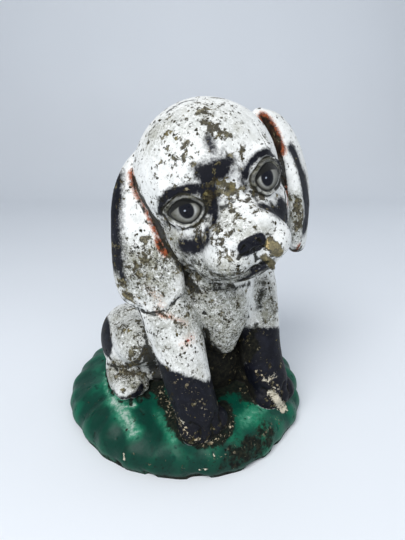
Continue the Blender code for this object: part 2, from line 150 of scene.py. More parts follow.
LICHEN_STROKES = {
    "stop": (6.4, 4.0, 0.95, ((212, 190), (222, 188), (233, 190), (246, 194))),
    "cheek": (5.5, 3.0, 0.95, ((196, 226), (202, 236), (201, 243))),
    "muzzle side": (5.0, 4.0, 0.92, ((213, 230), (218, 240), (225, 250), (232, 256))),
    "muzzle cluster": (2.0, 2.0, 0.9, ((230, 205), (234, 212), (240, 217))),
    "muzzle top": (2.4, 2.0, 0.8, ((241, 230), (250, 229), (258, 232))),
    "forehead": (3.6, 3.0, 0.95, ((166, 136), (176, 138), (187, 142))),
    "crown": (3.2, 3.0, 0.95, ((199, 112), (207, 112), (214, 110))),
    "crown right": (2.6, 2.6, 0.9, ((205, 123), (214, 127), (222, 133), (229, 135))),
    "brow": (3.0, 3.4, 0.85, ((176, 172), (184, 170), (192, 168))),
    "high brow": (3.0, 3.0, 0.85, ((173, 157), (180, 158), (186, 156))),
    "beside the nose": (5.0, 2.0, 1.0, ((270, 244), (276, 248), (280, 252))),
    "below the nose": (3.0, 2.0, 0.95, ((264, 258), (270, 262), (272, 268))),
    "left eye": (4.4, 2.5, 0.95, ((247, 186), (252, 192), (260, 194))),
    "beside the left eye": (2.4, 2.0, 0.8, ((243, 144), (243, 150))),
    "left ear": (5.0, 3.0, 0.95, ((290, 198), (297, 204), (300, 214), (300, 228))),
    "right ear spot": (3.2, 1.6, 1.0, ((143, 239), (149, 239))),
    "right ear low": (4.0, 4.0, 0.85, ((140, 278), (134, 268), (146, 258))),
    "right ear tip": (5.0, 3.0, 0.95, ((121, 283), (125, 293), (131, 300))),
    "chin": (3.0, 3.0, 0.85, ((184, 262), (190, 272), (200, 279))),
    "haunch": (3.6, 4.0, 0.8, ((138, 335), (139, 345), (132, 355))),
    "under the haunch": (2.4, 2.0, 0.9, ((114, 362), (126, 365), (140, 364))),
    "hind foot": (4.0, 4.0, 0.8, ((118, 374), (130, 372), (141, 376))),
    "between the brows": (4.0, 3.0, 0.8, ((206, 205), (212, 196), (218, 184))),
}
MOSS_STROKES = {
    "beside the nose": (3.6, 2.4, 1.0, ((268, 242), (275, 247), (279, 253))),
    "below the nose": (3.0, 2.2, 1.0, ((264, 256), (270, 262), (274, 268))),
    "ear tip": (2.4, 2.0, 0.9, ((124, 294), (129, 298))),
}
GRIT_STROKES = {
    "chest": (26.0, 10.0, 1.0, ((205, 296), (222, 318), (230, 344))),
    "right ear": (19.0, 9.0, 1.0, ((116, 256), (130, 272), (150, 280), (160, 262))),
    "haunch": (16.0, 8.0, 0.75, ((120, 316), (130, 336), (136, 356))),
    "hind foot": (12.0, 6.0, 0.95, ((112, 370), (128, 376), (142, 382))),
    "shoulder": (12.0, 8.0, 0.75, ((160, 320), (176, 318), (190, 324))),
    "leg": (10.0, 6.0, 0.45, ((160, 340), (175, 358), (196, 366))),
    "crown": (16.0, 12.0, 0.42, ((186, 118), (206, 112), (228, 124))),
    "left of the head": (10.0, 8.0, 0.6, ((152, 140), (160, 128), (170, 120))),
    "chin": (10.0, 7.0, 1.0, ((184, 250), (196, 266), (214, 274), (236, 276))),
    "left side": (12.0, 8.0, 0.9, ((262, 288), (268, 300), (268, 318))),
    "left ear": (8.0, 5.0, 0.8, ((296, 200), (298, 216), (296, 236))),
    "cheek": (9.0, 7.0, 0.85, ((168, 232), (180, 250), (196, 262))),
    "muzzle": (7.0, 7.0, 0.7, ((214, 214), (228, 222), (244, 232), (262, 236))),
    "jaw": (9.0, 6.0, 1.0, ((190, 272), (206, 280), (230, 282), (254, 274))),
}
# Soiling about the paws and the rim; painted shade in creases, under jaw, belly, haunch and ears, and
# between the legs
GRIME_AND_SHADE_STROKES = {
    "between the legs": (13.0, 7.0, 1.0, ((214, 372), (228, 376), (240, 382), (248, 392))),
    "under the belly": (9.0, 5.0, 1.0, ((212, 362), (226, 364), (240, 356), (250, 346))),
    "beside the bib": (3.0, 2.4, 1.0, ((206, 330), (209, 342), (214, 354))),
    "left of the bib": (3.4, 3.0, 0.8, ((256, 326), (250, 338), (242, 350))),
    "beside the right paw": (6.0, 4.0, 0.95, ((224, 404), (229, 418), (226, 432), (214, 441))),
    "before the right paw": (3.6, 3.0, 0.85, ((178, 436), (192, 443), (206, 445))),
    "behind the right paw": (6.0, 4.0, 0.9, ((154, 384), (162, 398), (170, 414), (175, 426))),
    "under the haunch": (1.6, 1.6, 1.0, ((104, 362), (114, 366), (128, 366), (142, 363), (150, 358))),
    "behind the leg": (5.4, 3.0, 1.0, ((147, 350), (151, 362), (156, 374), (160, 386))),
    "thigh crease": (1.8, 2.4, 1.0, ((138, 308), (143, 322), (146, 338), (150, 352))),
    "under the jaw": (4.0, 3.0, 0.95, ((184, 276), (190, 284), (198, 290))),
    "along the jaw": (2.4, 3.0, 0.8, ((198, 288), (212, 290), (234, 288), (250, 284))),
    "neck": (4.0, 4.0, 0.7, ((262, 282), (262, 294), (258, 308))),
    "right ear crease": (1.8, 2.2, 1.0, ((134, 178), (139, 193), (146, 205), (154, 220), (162, 238))),
    "right ear crease end": (1.3, 1.1, 1.0, ((161, 237), (165, 245), (169, 252))),
    "right ear lower crease": (1.8, 1.8, 1.0, ((169, 252), (176, 261), (183, 270), (188, 278))),
    "below the right ear": (1.0, 1.0, 1.0, ((118, 297), (126, 304), (138, 310), (150, 313), (162, 311))),
    "left ear groove": (3.2, 3.6, 1.0, ((265, 120), (271, 129), (277, 140), (279, 152))),
    "left ear middle groove": (2.2, 2.4, 1.0, ((279, 152), (282, 166), (285, 184))),
    "left ear lower crease": (1.2, 1.2, 0.9, ((284, 182), (286, 205), (288, 226))),
    "mouth corner": (1.4, 1.4, 0.8, ((210, 283), (224, 285), (238, 282))),
    "front rim": (9.0, 7.0, 0.72, ((234, 456), (250, 446), (268, 430))),
    "low front": (7.0, 6.0, 0.66, ((226, 466), (246, 458), (270, 442))),
    "right ear spot core": (1.6, 1.8, 0.9, ((159, 242), (162, 247))),
    "haunch shadow": (3.0, 4.0, 0.85, ((128, 366), (138, 360), (146, 350))),
    "along the jaw left": (2.4, 4.0, 0.75, ((172, 256), (180, 268), (190, 278))),
    "stop corner": (2.6, 4.0, 0.7, ((206, 200), (214, 204), (222, 208))),
}
DUST_STROKES = {
    "left of the right paw": (6.0, 5.0, 1.0, ((160, 388), (168, 400), (175, 414), (183, 429))),
    "right of the right paw": (5.0, 5.0, 0.9, ((202, 442), (214, 442), (226, 430), (232, 414))),
    "right sock": (7.0, 6.0, 0.55, ((176, 378), (190, 392), (200, 404), (206, 414))),
    "left sock": (5.0, 5.0, 0.7, ((256, 372), (270, 380), (280, 394))),
    "between the paws": (6.0, 6.0, 0.45, ((234, 398), (246, 404), (258, 402))),
    "low front": (6.0, 6.0, 0.45, ((206, 458), (236, 450), (262, 436), (280, 416))),
    "before the right paw": (4.0, 5.0, 1.0, ((183, 429), (190, 438), (202, 442))),
}
# Painted shade: darker green low on the front and left of the mound
MOUND_SHADE_STROKES = {
    "low left": (12.0, 10.0, 0.8, ((92, 410), (106, 436), (128, 456), (158, 470))),
    "low middle": (13.0, 10.0, 1.0, ((158, 470), (190, 476), (220, 470), (250, 455))),
    "left": (8.0, 8.0, 0.6, ((84, 372), (86, 392), (94, 412))),
    "behind the streak": (5.0, 6.0, 0.7, ((142, 412), (150, 428), (160, 444))),
}
# Painted highlights: lighter green and a pale sheen along the lit ridges of the mound
HIGHLIGHT_STROKES = {
    "ridge below the hind foot": (6.5, 7.0, 0.95, ((114, 400), (119, 408), (127, 420), (133, 432))),
    "before the hind foot": (3.0, 3.0, 1.0, ((112, 402), (122, 407), (134, 405))),
    "ridge beside the valley": (4.0, 5.5, 0.7, ((158, 414), (166, 426), (174, 438))),
    "right of the paw": (8.0, 7.0, 0.6, ((244, 420), (254, 412), (266, 402))),
    "left of the hind foot": (2.6, 3.0, 0.8, ((104, 372), (106, 386), (110, 398))),
}
BARE_STROKES = {
    "nose chip": (1.6, 1.0, 1.2, ((266.5, 241), (268.5, 245), (267.5, 249))),
    "chip below the nose": (1.0, 0.6, 1.0, ((266, 259), (268, 260))),
    "rim": (1.4, 0.8, 1.0, ((124, 454), (124.5, 459))),
    "rim middle": (1.2, 0.9, 0.9, ((200, 469), (207, 469))),
    "rim low": (1.0, 0.8, 0.9, ((196, 476), (199, 476))),
    "rim right": (1.0, 0.8, 0.9, ((293, 402), (295, 403))),
    "mound middle": (0.9, 0.8, 0.9, ((187, 457), (189, 459))),
    "mound right": (0.9, 0.8, 0.9, ((213, 453), (214, 456))),
    "left wrist": (2.4, 3.0, 0.9, ((264, 380), (270, 378), (276, 376))),
    "left toes": (5.6, 3.6, 0.95, ((272, 393), (278, 400), (282, 408))),
    "left toe ridge": (1.2, 2.0, 0.85, ((268, 384), (274, 388), (280, 390))),
    "right paw": (1.6, 2.0, 0.95, ((181, 421), (184, 423))),
    "right wrist": (1.0, 1.6, 0.9, ((200, 408), (207, 409))),
}
# Where the white of a foreleg ends and its dark sock begins
RIGHT_SOCK = (
    (138, 310),
    (142, 322),
    (146, 336),
    (150, 348),
    (160, 362),
    (172, 370),
    (190, 376),
    (204, 381),
    (210, 379),
    (213, 360),
)
LEFT_SOCK_LEVEL = 327
# The dark paint on the outside of the right thigh lies to the left of this line
THIGH_EDGE = ((104, 309), (107, 315), (110, 324), (111, 334), (113, 346), (111, 355), (105, 362))


def dog_frame():
    """Dog millimetres to metres, with the dog's zero height on the top of the mound."""
    place = Matrix.Translation((DOG_ON_MOUND[0], DOG_ON_MOUND[1], MOUND_HEIGHT))
    return place @ Matrix.Scale(DOG_MM, 4)


def head_frame():
    """Head millimetres to metres: X to the dog's left, -Y along the muzzle, Z through the crown."""
    turned_head = Matrix.Rotation(-HEAD_TURN, 4, "Z")
    leaned_head = Matrix.Rotation(-HEAD_LEAN, 4, "Y")
    return dog_frame() @ Matrix.Translation(HEAD_AT) @ turned_head @ leaned_head


def mapped(points, matrix):
    """Rows of points carried through a matrix."""
    rows = np.array(matrix)
    return points @ rows[:3, :3].T + rows[:3, 3]


def turned(directions, matrix):
    """Rows of directions carried through a matrix, at unit length."""
    out = directions @ np.array(matrix)[:3, :3].T
    return out / np.linalg.norm(out, axis=1)[:, None]


def spline(values, count):
    """Catmull-Rom samples through the rows of values."""
    rows = np.asarray(values, float)
    padded = np.vstack([2 * rows[0] - rows[1], rows, 2 * rows[-1] - rows[-2]])
    samples = []
    for step in np.linspace(0, len(rows) - 1, count):
        i = min(int(step), len(rows) - 2)
        t = step - i
        a, b, c, d = padded[i : i + 4]
        bend = (2 * a - 5 * b + 4 * c - d) * t**2 + (3 * b - a - 3 * c + d) * t**3
        samples.append(0.5 * (2 * b + (c - a) * t + bend))
    return np.array(samples)


def ramp(low, high, value):
    """0 below low and 1 above high, with a smooth rise between; low may be above high."""
    t = np.clip((value - low) / (high - low), 0, 1)
    return t * t * (3 - 2 * t)


def lumps(points, size, seed):
    """Smooth noise from 0 to 1 at each point; size is the width of a lump in metres."""
    lattice = np.random.RandomState(seed).rand(32, 32, 32)
    spot = points / size
    cell = np.floor(spot).astype(int)
    t = spot - cell
    t = t * t * (3 - 2 * t)
    total = np.zeros(len(points))
    for corner in itertools.product((0, 1), repeat=3):
        weight = np.ones(len(points))
        for axis in range(3):
            weight *= t[:, axis] if corner[axis] else 1 - t[:, axis]
        index = tuple((cell[:, axis] + corner[axis]) % 32 for axis in range(3))
        total += weight * lattice[index]
    return total


def broken_lumps(points, size, seed, octaves=3):
    """Lumps with finer lumps on them, from 0 to 1."""
    total, weight = 0.0, 0.0
    for octave in range(octaves):
        total = total + lumps(points, size / 2.1**octave, seed + octave) * 0.6**octave
        weight += 0.6**octave
    return total / weight


# The forms of the casting


def skin(clay, loops):
    """Closes a stack of equal loops of points into one body, wound to face outward."""
    rings = [[clay.verts.new(Vector(point)) for point in loop] for loop in loops]
    sides = len(rings[0])
    for lower, upper in zip(rings, rings[1:]):
        for k in range(sides):
            n = (k + 1) % sides
            clay.faces.new((lower[k], lower[n], upper[n], upper[k]))
    clay.faces.new(rings[0][::-1])
    clay.faces.new(rings[-1])


def ellipsoid(clay, place, centre, radii, turn=(0.0, 0.0, 0.0)):
    """Adds an ellipsoid; turn is its rotation about X, Y and Z in degrees."""
    spot = Matrix.Translation(centre)
    for angle, axis in zip(turn, "XYZ"):
        spot = spot @ Matrix.Rotation(math.radians(angle), 4, axis)
    spot = place @ spot @ Matrix.Diagonal((*radii, 1.0))
    bmesh.ops.create_icosphere(clay, subdivisions=5, radius=1.0, matrix=spot)


def limb_axes(stations, across, rings):
    """Rows along a limb with its tangent, its side direction and its front direction."""
    rows = spline(stations, rings)
    tangents = np.gradient(rows[:, :3], axis=0)
    tangents /= np.linalg.norm(tangents, axis=1)[:, None]
    sides = np.array(across, float) - tangents * (tangents @ np.array(across, float))[:, None]
    sides /= np.linalg.norm(sides, axis=1)[:, None]
    return rows, tangents, sides, np.cross(tangents, sides)


def loft(clay, place, stations, across=(1.0, 0.0, 0.0), rings=30, segments=44, square=1.0, dome=1.0):
    """Adds a limb through stations of (x, y, z, half width, half depth), with domed ends.

    The width runs along across, and the depth is square to it and to the limb. A square value
    below 1 makes the section boxier, and dome is how far the ends stand out for their thickness.
    """
    rows, tangents, sides, fronts = limb_axes(stations, across, rings)
    angles = np.linspace(0, 2 * math.pi, segments, endpoint=False)
    c = np.copysign(np.abs(np.cos(angles)) ** square, np.cos(angles))
    s = np.copysign(np.abs(np.sin(angles)) ** square, np.sin(angles))

    def section(i, along, share):
        centre = rows[i, :3] + tangents[i] * along
        ring = np.outer(c * rows[i, 3], sides[i]) + np.outer(s * rows[i, 4], fronts[i])
        return centre + ring * max(share, 0.02)

    cap = np.linspace(0, math.pi / 2, 8)[1:]
    loops = []
    for angle in cap[::-1]:
        loops.append(section(0, -math.sin(angle) * min(rows[0, 3:]) * dome, math.cos(angle)))
    for i in range(rings):
        loops.append(section(i, 0.0, 1.0))
    for angle in cap:
        loops.append(section(-1, math.sin(angle) * min(rows[-1, 3:]) * dome, math.cos(angle)))
    skin(clay, [mapped(loop, place) for loop in loops])


def tussocks(angle):
    """The broad and narrow ridges of turf that run out from the middle, from about -1 to 1."""
    broad = np.sin(11 * angle + 0.6 + 1.3 * np.sin(2 * angle + 1.0))
    narrow = np.sin(20 * angle + 2.0 * np.sin(3 * angle + 2.2))
    return (0.6 * broad + 0.5 * narrow) * (0.8 + 0.2 * np.sin(5 * angle))


def mound_swell(angle, height):
    """How far the mound's side bulges at an angle, as a share; height runs from 0 to 1."""
    lobes = 0.010 * np.sin(3 * angle + 0.6) + 0.008 * np.sin(7 * angle + 1.1)
    folds = 0.016 * tussocks(angle) + 0.009 * np.sin(29 * angle + 0.7)
    return 1 + lobes + folds * np.clip(0.35 + 1.3 * height, 0, 1) * np.clip(2.4 - 2.2 * height, 0, 1)


MOUND_PROFILE = (
    (0.985, 0.00),
    (0.995, 0.12),
    (1.00, 0.26),
    (0.965, 0.52),
    (0.87, 0.73),
    (0.72, 0.88),
    (0.50, 0.98),
    (0.20, 1.02),
)


def mound_ridge(angle, share, height):
    """How far the turf's ridges stand up, as a share of the mound's height."""
    return 0.09 * tussocks(angle) * np.exp(-(((share - 0.84) / 0.14) ** 2)) * np.maximum(height, 0)


def mound(clay):
    """A tuft of ground: steep folded sides and a top that falls gently to them."""
    angles = np.linspace(0, 2 * math.pi, 360, endpoint=False)
    directions = np.stack([np.cos(angles), np.sin(angles)], axis=1)
    loops = []
    for share, height in [(0.98, -UNDERCUT / MOUND_HEIGHT), *spline(MOUND_PROFILE, 48)]:
        radius = MOUND_DIAMETER / 2 * share * mound_swell(angles, height)
        level = MOUND_HEIGHT * (height + mound_ridge(angles, share, height))
        loops.append(np.column_stack([directions * radius[:, None], level]))
    loops = np.array(loops)
    # Its widest reach to each side is centred on the origin
    loops[:, :, :2] -= (loops.min(axis=(0, 1)) + loops.max(axis=(0, 1)))[:2] / 2
    skin(clay, loops)


def body(clay):
    dog = dog_frame()
    spine = (
        (0, 62, 0, 46, 34),
        (0, 50, 28, 52, 46),
        (0, 26, 62, 49, 47),
        (0, -4, 96, 45, 45),
        (-2, -24, 130, 42, 43),
        (-6, -36, 166, 38, 40),
    )
    loft(clay, dog, spine)
    # The chest, and the bib that narrows to a point between the forelegs
    ellipsoid(clay, dog, (-2, -38, 100), (40, 40, 46), (8, 0, 0))
    bib = (
        (-5, -44, 136, 35, 32),
        (-4, -49, 110, 35, 32),
        (-3, -56, 82, 26, 27),
        (-4, -60, 50, 13, 14),
    )
    loft(clay, dog, bib, dome=0.7)
    # Stone left between the legs, and the webs that join each foreleg to the belly behind it
    ellipsoid(clay, dog, (-2, -26, 18), (44, 38, 50))
    for side in (-1, 1):
        web = (
            (side * 26, -40, 0, 15, 30),
            (side * 26, -34, 26, 15, 30),
            (side * 26, -26, 60, 16, 28),
            (side * 26, -24, 96, 14, 24),
        )
        loft(clay, dog, web, rings=20)


def foreleg(clay, shoulder, wrist, toes):
    """A foreleg, by how far to the dog's left its shoulder, its wrist and its toes stand."""
    dog = dog_frame()
    arm = (
        (shoulder, -26, 126, 25, 28),
        (0.7 * shoulder + 0.3 * wrist, -44, 92, 25, 26),
        (0.3 * shoulder + 0.7 * wrist, -60, 62, 22.5, 22),
        (wrist, -73, 34, 20.5, 20),
        (0.5 * wrist + 0.5 * toes, -84, 8, 19.5, 18.5),
    )
    loft(clay, dog, arm)
    paw = ((toes, -74, 2, 20, 15), (toes, -88, -2, 24, 14.5), (toes, -94, -6, 23, 12))
    loft(clay, dog, paw, rings=16, dome=0.75)


def haunch(clay, side):
    dog = dog_frame()
    ellipsoid(clay, dog, (side * 54, 27, 25), (34, 46, 39), (10, 0, 0))
    # The knee, and the long hind foot that lies under it
    ellipsoid(clay, dog, (side * 60, 0, 42), (26, 31, 22), (8, side * 8, 0))
    foot = ((side * 66, 30, 3, 20, 19), (side * 75, 8, 3, 18, 18), (side * 77, -13, 0.5, 17, 16))
    loft(clay, dog, foot, rings=20)
    # Stone left under the knee
    ellipsoid(clay, dog, (side * 44, 4, 10), (28, 28, 14))


def tail(clay):
    curl = ((0, 84, 6, 16, 15), (24, 98, 3, 14, 12), (50, 94, 1, 11, 10), (70, 76, 1, 7, 7))
    loft(clay, dog_frame(), curl, rings=22)
    # Stone left between the tail and the rump
    ellipsoid(clay, dog_frame(), (44, 80, 0), (26, 18, 12))


def head(clay):
    place = head_frame()
    ellipsoid(clay, place, (0, 6, 12), (57.5, 58, 57))
    muzzle = ((0, -14, -18, 40, 34), (0, -40, -24, 31, 26), (0, -58, -28, 27, 21))
    loft(clay, place, muzzle, rings=20, square=0.8, dome=0.65)
    # The lower jaw, the nose leather, the cheeks, the flews and the brows
    ellipsoid(clay, place, (-2, -32, -45), (38, 34, 20))
    nose = ((-1.4, -56, -23.5, 11.6, 7.8), (-1.0, -72.5, -25.6, 10.8, 7.0))
    loft(clay, place, nose, rings=10, square=0.55, dome=0.45)
    for side in (-1, 1):
        ellipsoid(clay, place, (side * 22 - 1, -8, -24), (30, 38, 34))
        ellipsoid(clay, place, (side * 15, -51, -36), (18, 22, 16))
        ellipsoid(clay, place, (side * 25, -33, 22), (20, 12, 9), (0, side * 8, 0))


def ear(clay, stations, across, front_side):
    """A hanging ear with a rolled front edge; front_side says which way its front edge lies."""
    dog = dog_frame()
    loft(clay, dog, stations, across=across, rings=36, dome=1.0)
    rows, _, sides, fronts = limb_axes(stations, across, 36)
    edge = rows[:, :3] + fronts * rows[:, 4:5] * 0.86 * front_side + sides * rows[:, 3:4] * 0.15
    roll = np.column_stack([edge, rows[:, 3] * 0.62, rows[:, 3] * 0.62])
    loft(clay, dog, roll[1:-1], across=across, rings=36, segments=24)


def ears(clay):
    right = (
        (-46, -26, 224, 9, 11),
        (-61, -22, 204, 11, 15),
        (-68, -24, 186, 12, 18),
        (-71, -30, 164, 12.5, 21),
        (-70, -37, 140, 12.5, 27),
        (-67, -42, 119, 11.5, 30),
        (-65, -45, 106, 10, 26),
        (-64, -46, 98, 8, 17),
    )
    ear(clay, right, (-0.75, -0.65, 0.0), -1)
    left = (
        (32, -54, 244, 8, 12),
        (51, -58, 233, 10, 18),
        (64, -62, 213, 10.5, 23),
        (71, -66, 186, 10.5, 26),
        (71, -70, 158, 9.5, 26),
        (69, -73, 138, 8, 19),
    )
    ear(clay, left, (0.6, -0.8, 0.0), 1)
    # Stone left behind the ears, where the mould could not reach between ear and neck
    ellipsoid(clay, dog_frame(), (-52, -30, 160), (20, 22, 48))
    ellipsoid(clay, dog_frame(), (50, -52, 184), (17, 19, 50))
    ellipsoid(clay, dog_frame(), (44, -50, 160), (16, 16, 28))


def fused(clay, name):
    """The blocked-in forms as one object, with the modifiers that fuse and soften them."""
    mesh = bpy.data.meshes.new(name)
    clay.to_mesh(mesh)
    clay.free()
    made = bpy.data.objects.new(name, mesh)
    bpy.context.scene.collection.objects.link(made)
    fuse = made.modifiers.new("fuse", "REMESH")
    fuse.mode = "VOXEL"
    fuse.voxel_size = VOXEL
    soften = made.modifiers.new("soften", "SMOOTH")
    soften.factor = 0.5
    soften.iterations = SOFTENING_ROUNDS
    return made


def settle(thing):
    """Gives an object the mesh that its modifiers make, and drops the modifiers."""
    graph = bpy.context.evaluated_depsgraph_get()
    mesh = bpy.data.meshes.new_from_object(thing.evaluated_get(graph))
    thing.modifiers.clear()
    thing.data = mesh
    return mesh


def positions(mesh):
    flat = np.empty(len(mesh.vertices) * 3)
    mesh.vertices.foreach_get("co", flat)
    return flat.reshape(-1, 3)


def normals(mesh):
    flat = np.empty(len(mesh.vertices) * 3)
    mesh.vertices.foreach_get("normal", flat)
    return flat.reshape(-1, 3)


def move_to(mesh, points):
    mesh.vertices.foreach_set("co", points.ravel())
    mesh.update()


def relax(points, mesh, share, rounds):
    """Moves each point towards the middle of its neighbours, by share (0 to 1) for each point."""
    ends = np.empty(len(mesh.edges) * 2, dtype=np.int64)
    mesh.edges.foreach_get("vertices", ends)
    starts, stops = ends[0::2], ends[1::2]
    count = np.bincount(ends, minlength=len(points))[:, None]
    for _ in range(rounds):
        total = np.empty_like(points)
        for axis in range(3):
            total[:, axis] = np.bincount(starts, points[stops, axis], len(points))
            total[:, axis] += np.bincount(stops, points[starts, axis], len(points))
        points = points + (total / count - points) * share[:, None]
    return points


# Carving


def reach(points, marks, limit):
    """Each point's distance to the nearest mark, or limit where every mark is further."""
    away = np.full(len(points), float(limit))
    low, high = marks.min(axis=0) - limit, marks.max(axis=0) + limit
    near = np.flatnonzero(((points > low) & (points < high)).all(axis=1))
    for mark in marks:
        away[near] = np.minimum(away[near], np.linalg.norm(points[near] - mark, axis=1))
    return away


def stroke(points, outward, path, width, depth):
    """Pushes the skin in along a path laid on it; a negative depth raises a ridge."""
    marks = []
    for mark in spline(path, 48):
        marks.append(points[np.argmin(((points - mark) ** 2).sum(axis=1))])
    away = reach(points, np.array(marks), 3 * width)
    points -= outward * (depth * np.exp(-((away / width) ** 2)) * (away < 3 * width))[:, None]


def press(points, outward, centre, radii, depth):
    """Presses a soft hollow of the given radii into the skin; a negative depth swells it."""
    away = ((points - centre) / radii) ** 2
    points -= outward * (depth * np.exp(-away.sum(axis=1)))[:, None]


# Each eye: how far to the dog's left, level, half width, half height and tilt, in head millimetres
EYES = (
    (-30.5, 4.3, 11.0, 9.2, math.radians(-7)),
    (33.0, 2.0, 11.0, 9.6, math.radians(-18)),
)


def eye_share(points, eye):
    """0 at the middle of an eye's opening, 1 on its edge and more beyond it."""
    out, level, half_width, half_height, tilt = eye
    across = points[:, 0] - out
    up = points[:, 2] - level
    c, s = math.cos(tilt), math.sin(tilt)
    along, above = across * c + up * s, up * c - across * s
    # The opening narrows to its two corners
    narrowing = 1 - 0.3 * np.clip(np.abs(along) / half_width, 0, 1) ** 2
    share = np.sqrt((along / half_width) ** 2 + (above / (half_height * narrowing)) ** 2)
    return share, above / half_height


def carve_eye(points, eye):
    """A ball in an almond opening, with a raised lid round it and a fold outside the lid."""
    out, level = eye[:2]
    ball, thinnest_lid, thickest_lid = 23.0, 0.8, 2.6
    middle = np.array([0.72 * out, -23.5, level + 1])
    share, above = eye_share(points, eye)
    front = ramp(-14, -24, points[:, 1])
    spoke = points - middle
    length = np.linalg.norm(spoke, axis=1)
    lidded = np.clip(length, ball + thinnest_lid, ball + thickest_lid)
    wanted = length + (lidded - length) * ramp(1.9, 1.15, share)
    upper = ramp(-0.3, 0.5, above)
    wanted += np.exp(-(((share - 1.12) / 0.10) ** 2)) * (1.0 + 0.9 * upper)
    wanted -= np.exp(-(((share - 1.40) / 0.09) ** 2)) * (0.7 + 0.6 * upper)
    wanted += np.exp(-(((share - 1.62) / 0.12) ** 2)) * (0.3 + 0.3 * upper)
    wanted += (ball - wanted) * ramp(1.03, 0.97, share)
    wanted = length + (wanted - length) * front
    points += spoke * (wanted / length - 1)[:, None]


def carve_head(points, outward):
    """Carves the face, in head millimetres."""
    for side in (-1, 1):
        press(points, outward, (side * 20, -48, -6), (9, 14, 9), 3.0)
        press(points, outward, (side * 31, -42, -17), (12, 14, 6), 1.6)
    press(points, outward, (0, -52, 8), (9, 14, 11), 3.0)
    press(points, outward, (0, -52, 46), (5, 20, 16), 1.2)
    for eye in EYES:
        carve_eye(points, eye)
    # The mouth under the flews, the cleft below the nose and the nostrils
    right_lip = ((-30, -42, -49), (-16, -62, -52), (-5, -69, -49))
    left_lip = ((6, -69, -49), (18, -60, -51), (30, -40, -48))
    stroke(points, outward, (*right_lip, *left_lip), 1.9, 3.6)
    stroke(points, outward, ((0, -80, -33), (0, -77, -39), (0, -72, -46)), 1.3, 1.8)
    stroke(points, outward, ((-12, -72, -32), (-2, -76, -33), (8, -72, -32)), 1.6, 1.6)
    for x in (-6.6, 5.0):
        stroke(points, outward, ((x, -78, -25), (x + 0.4 * x, -77, -27.5)), 1.5, 2.1)


def carve_toes(points, outward, x, heel, tip, level, spread, depth):
    """Three grooves that part a paw into four toes."""
    for toe in (-1, 0, 1):
        start = (x + toe * spread * 0.8, heel, level + 11)
        over = (x + toe * spread, (heel + tip) / 2 - 4, level + 7)
        end = (x + toe * spread * 1.08, tip, level - 6)
        stroke(points, outward, (start, over, end), 2.3, depth)


# The grooves along the ears, in dog millimetres
EAR_GROOVES = {
    "right ear, beside the face": (
        *((-66, -36, 204), (-69, -46, 193), (-66, -51, 180)),
        *((-61, -54, 167), (-59, -59, 157), (-53, -64, 146)),
    ),
    "right ear, under the lobe": (
        *((-40, -57, 126), (-45, -62, 117), (-54, -66, 110)),
        *((-63, -64, 102), (-72, -58, 97), (-79, -45, 96)),
    ),
    "left ear, beside the face": (
        *((31, -60, 248), (36, -66, 236), (40, -74, 218)),
        *((45, -75, 202), (49, -76, 186), (52, -79, 165)),
    ),
}


def carve(statue):
    """Softens the face and carves it, then the toes and the creases, into the fused mesh."""
    mesh = settle(statue)
    points = positions(mesh)
    head_place, dog_place = head_frame(), dog_frame()
    face = mapped(points, head_place.inverted())
    on_face = ramp(4, -14, face[:, 1]) * ramp(50, 36, np.abs(face[:, 0])) * ramp(58, 40, face[:, 2])
    on_face *= ramp(-74, -60, face[:, 2]) * (1 - 0.9 * ramp(-60, -66, face[:, 1]))
    dog = mapped(points, dog_place.inverted())
    clear_of_ear = np.maximum(ramp(-70, -60, dog[:, 0]), ramp(96, 88, dog[:, 2]))
    on_body = ramp(8, 22, dog[:, 2]) * ramp(140, 122, dog[:, 2]) * clear_of_ear
    points = relax(points, mesh, np.maximum(on_face, on_body) * 0.6, FACE_SOFTENING_ROUNDS)
    move_to(mesh, points)
    outward = normals(mesh)

    face = mapped(points, head_place.inverted())
    whole_head = np.flatnonzero((np.abs(face) < (75, 95, 85)).all(axis=1) & (face[:, 1] < 0))
    part = face[whole_head]
    carve_head(part, turned(outward[whole_head], head_place.inverted()))
    points[whole_head] = mapped(part, head_place)

    dog = mapped(points, dog_place.inverted())
    for x in (-43, 37):
        carve_toes(dog, outward, x, -88, -106, -2, 11.5, 2.4)
    for side in (-1, 1):
        carve_toes(dog, outward, side * 77, -14, -30, 2, 8.5, 1.2)
        crease = ((side * 89, 18, 18.5), (side * 88, -6, 19.5), (side * 78, -26, 19.5))
        stroke(dog, outward, crease, 2.6, 2.2)
    for groove in EAR_GROOVES.values():
        stroke(dog, outward, groove, 2.0, 2.6)
    move_to(mesh, mapped(dog, dog_place))


# The photograph's line of sight


def camera_axes():
    """The camera's right, up and forward directions."""
    level = Vector((-math.sin(CAMERA_TURN), math.cos(CAMERA_TURN), 0.0))
    forward = level * math.cos(CAMERA_DIP) - Vector((0.0, 0.0, math.sin(CAMERA_DIP)))
    right = Vector((math.cos(CAMERA_TURN), math.sin(CAMERA_TURN), 0.0))
    return right, right.cross(forward), forward


def pixels_per_slope():
    return max(PHOTO_SIZE) * CAMERA_LENS / CAMERA_SENSOR


def seen_at(points):
    """The photograph's pixel, u across and v down, of each point."""
    right, up, forward = (np.array(axis) for axis in camera_axes())
    away = points - np.array(CAMERA_AT)
    depth = away @ forward
    u = PHOTO_SIZE[0] / 2 + pixels_per_slope() * (away @ right) / depth
    v = PHOTO_SIZE[1] / 2 - pixels_per_slope() * (away @ up) / depth
    return u, v


def landings(tree, path):
    """The points of the stone under a path of pixels, one for each pixel of its length."""
    right, up, forward = camera_axes()
    rows = np.array(path, float)
    length = np.linalg.norm(np.diff(rows, axis=0), axis=1).sum()
    found = []
    for u, v in spline(rows, max(3, int(length) + 1)):
        across = (u - PHOTO_SIZE[0] / 2) / pixels_per_slope()
        down = (v - PHOTO_SIZE[1] / 2) / pixels_per_slope()
        hit = tree.ray_cast(Vector(CAMERA_AT), forward + right * across - up * down)[0]
        if hit is not None:
            found.append(tuple(hit))
    return np.array(found)


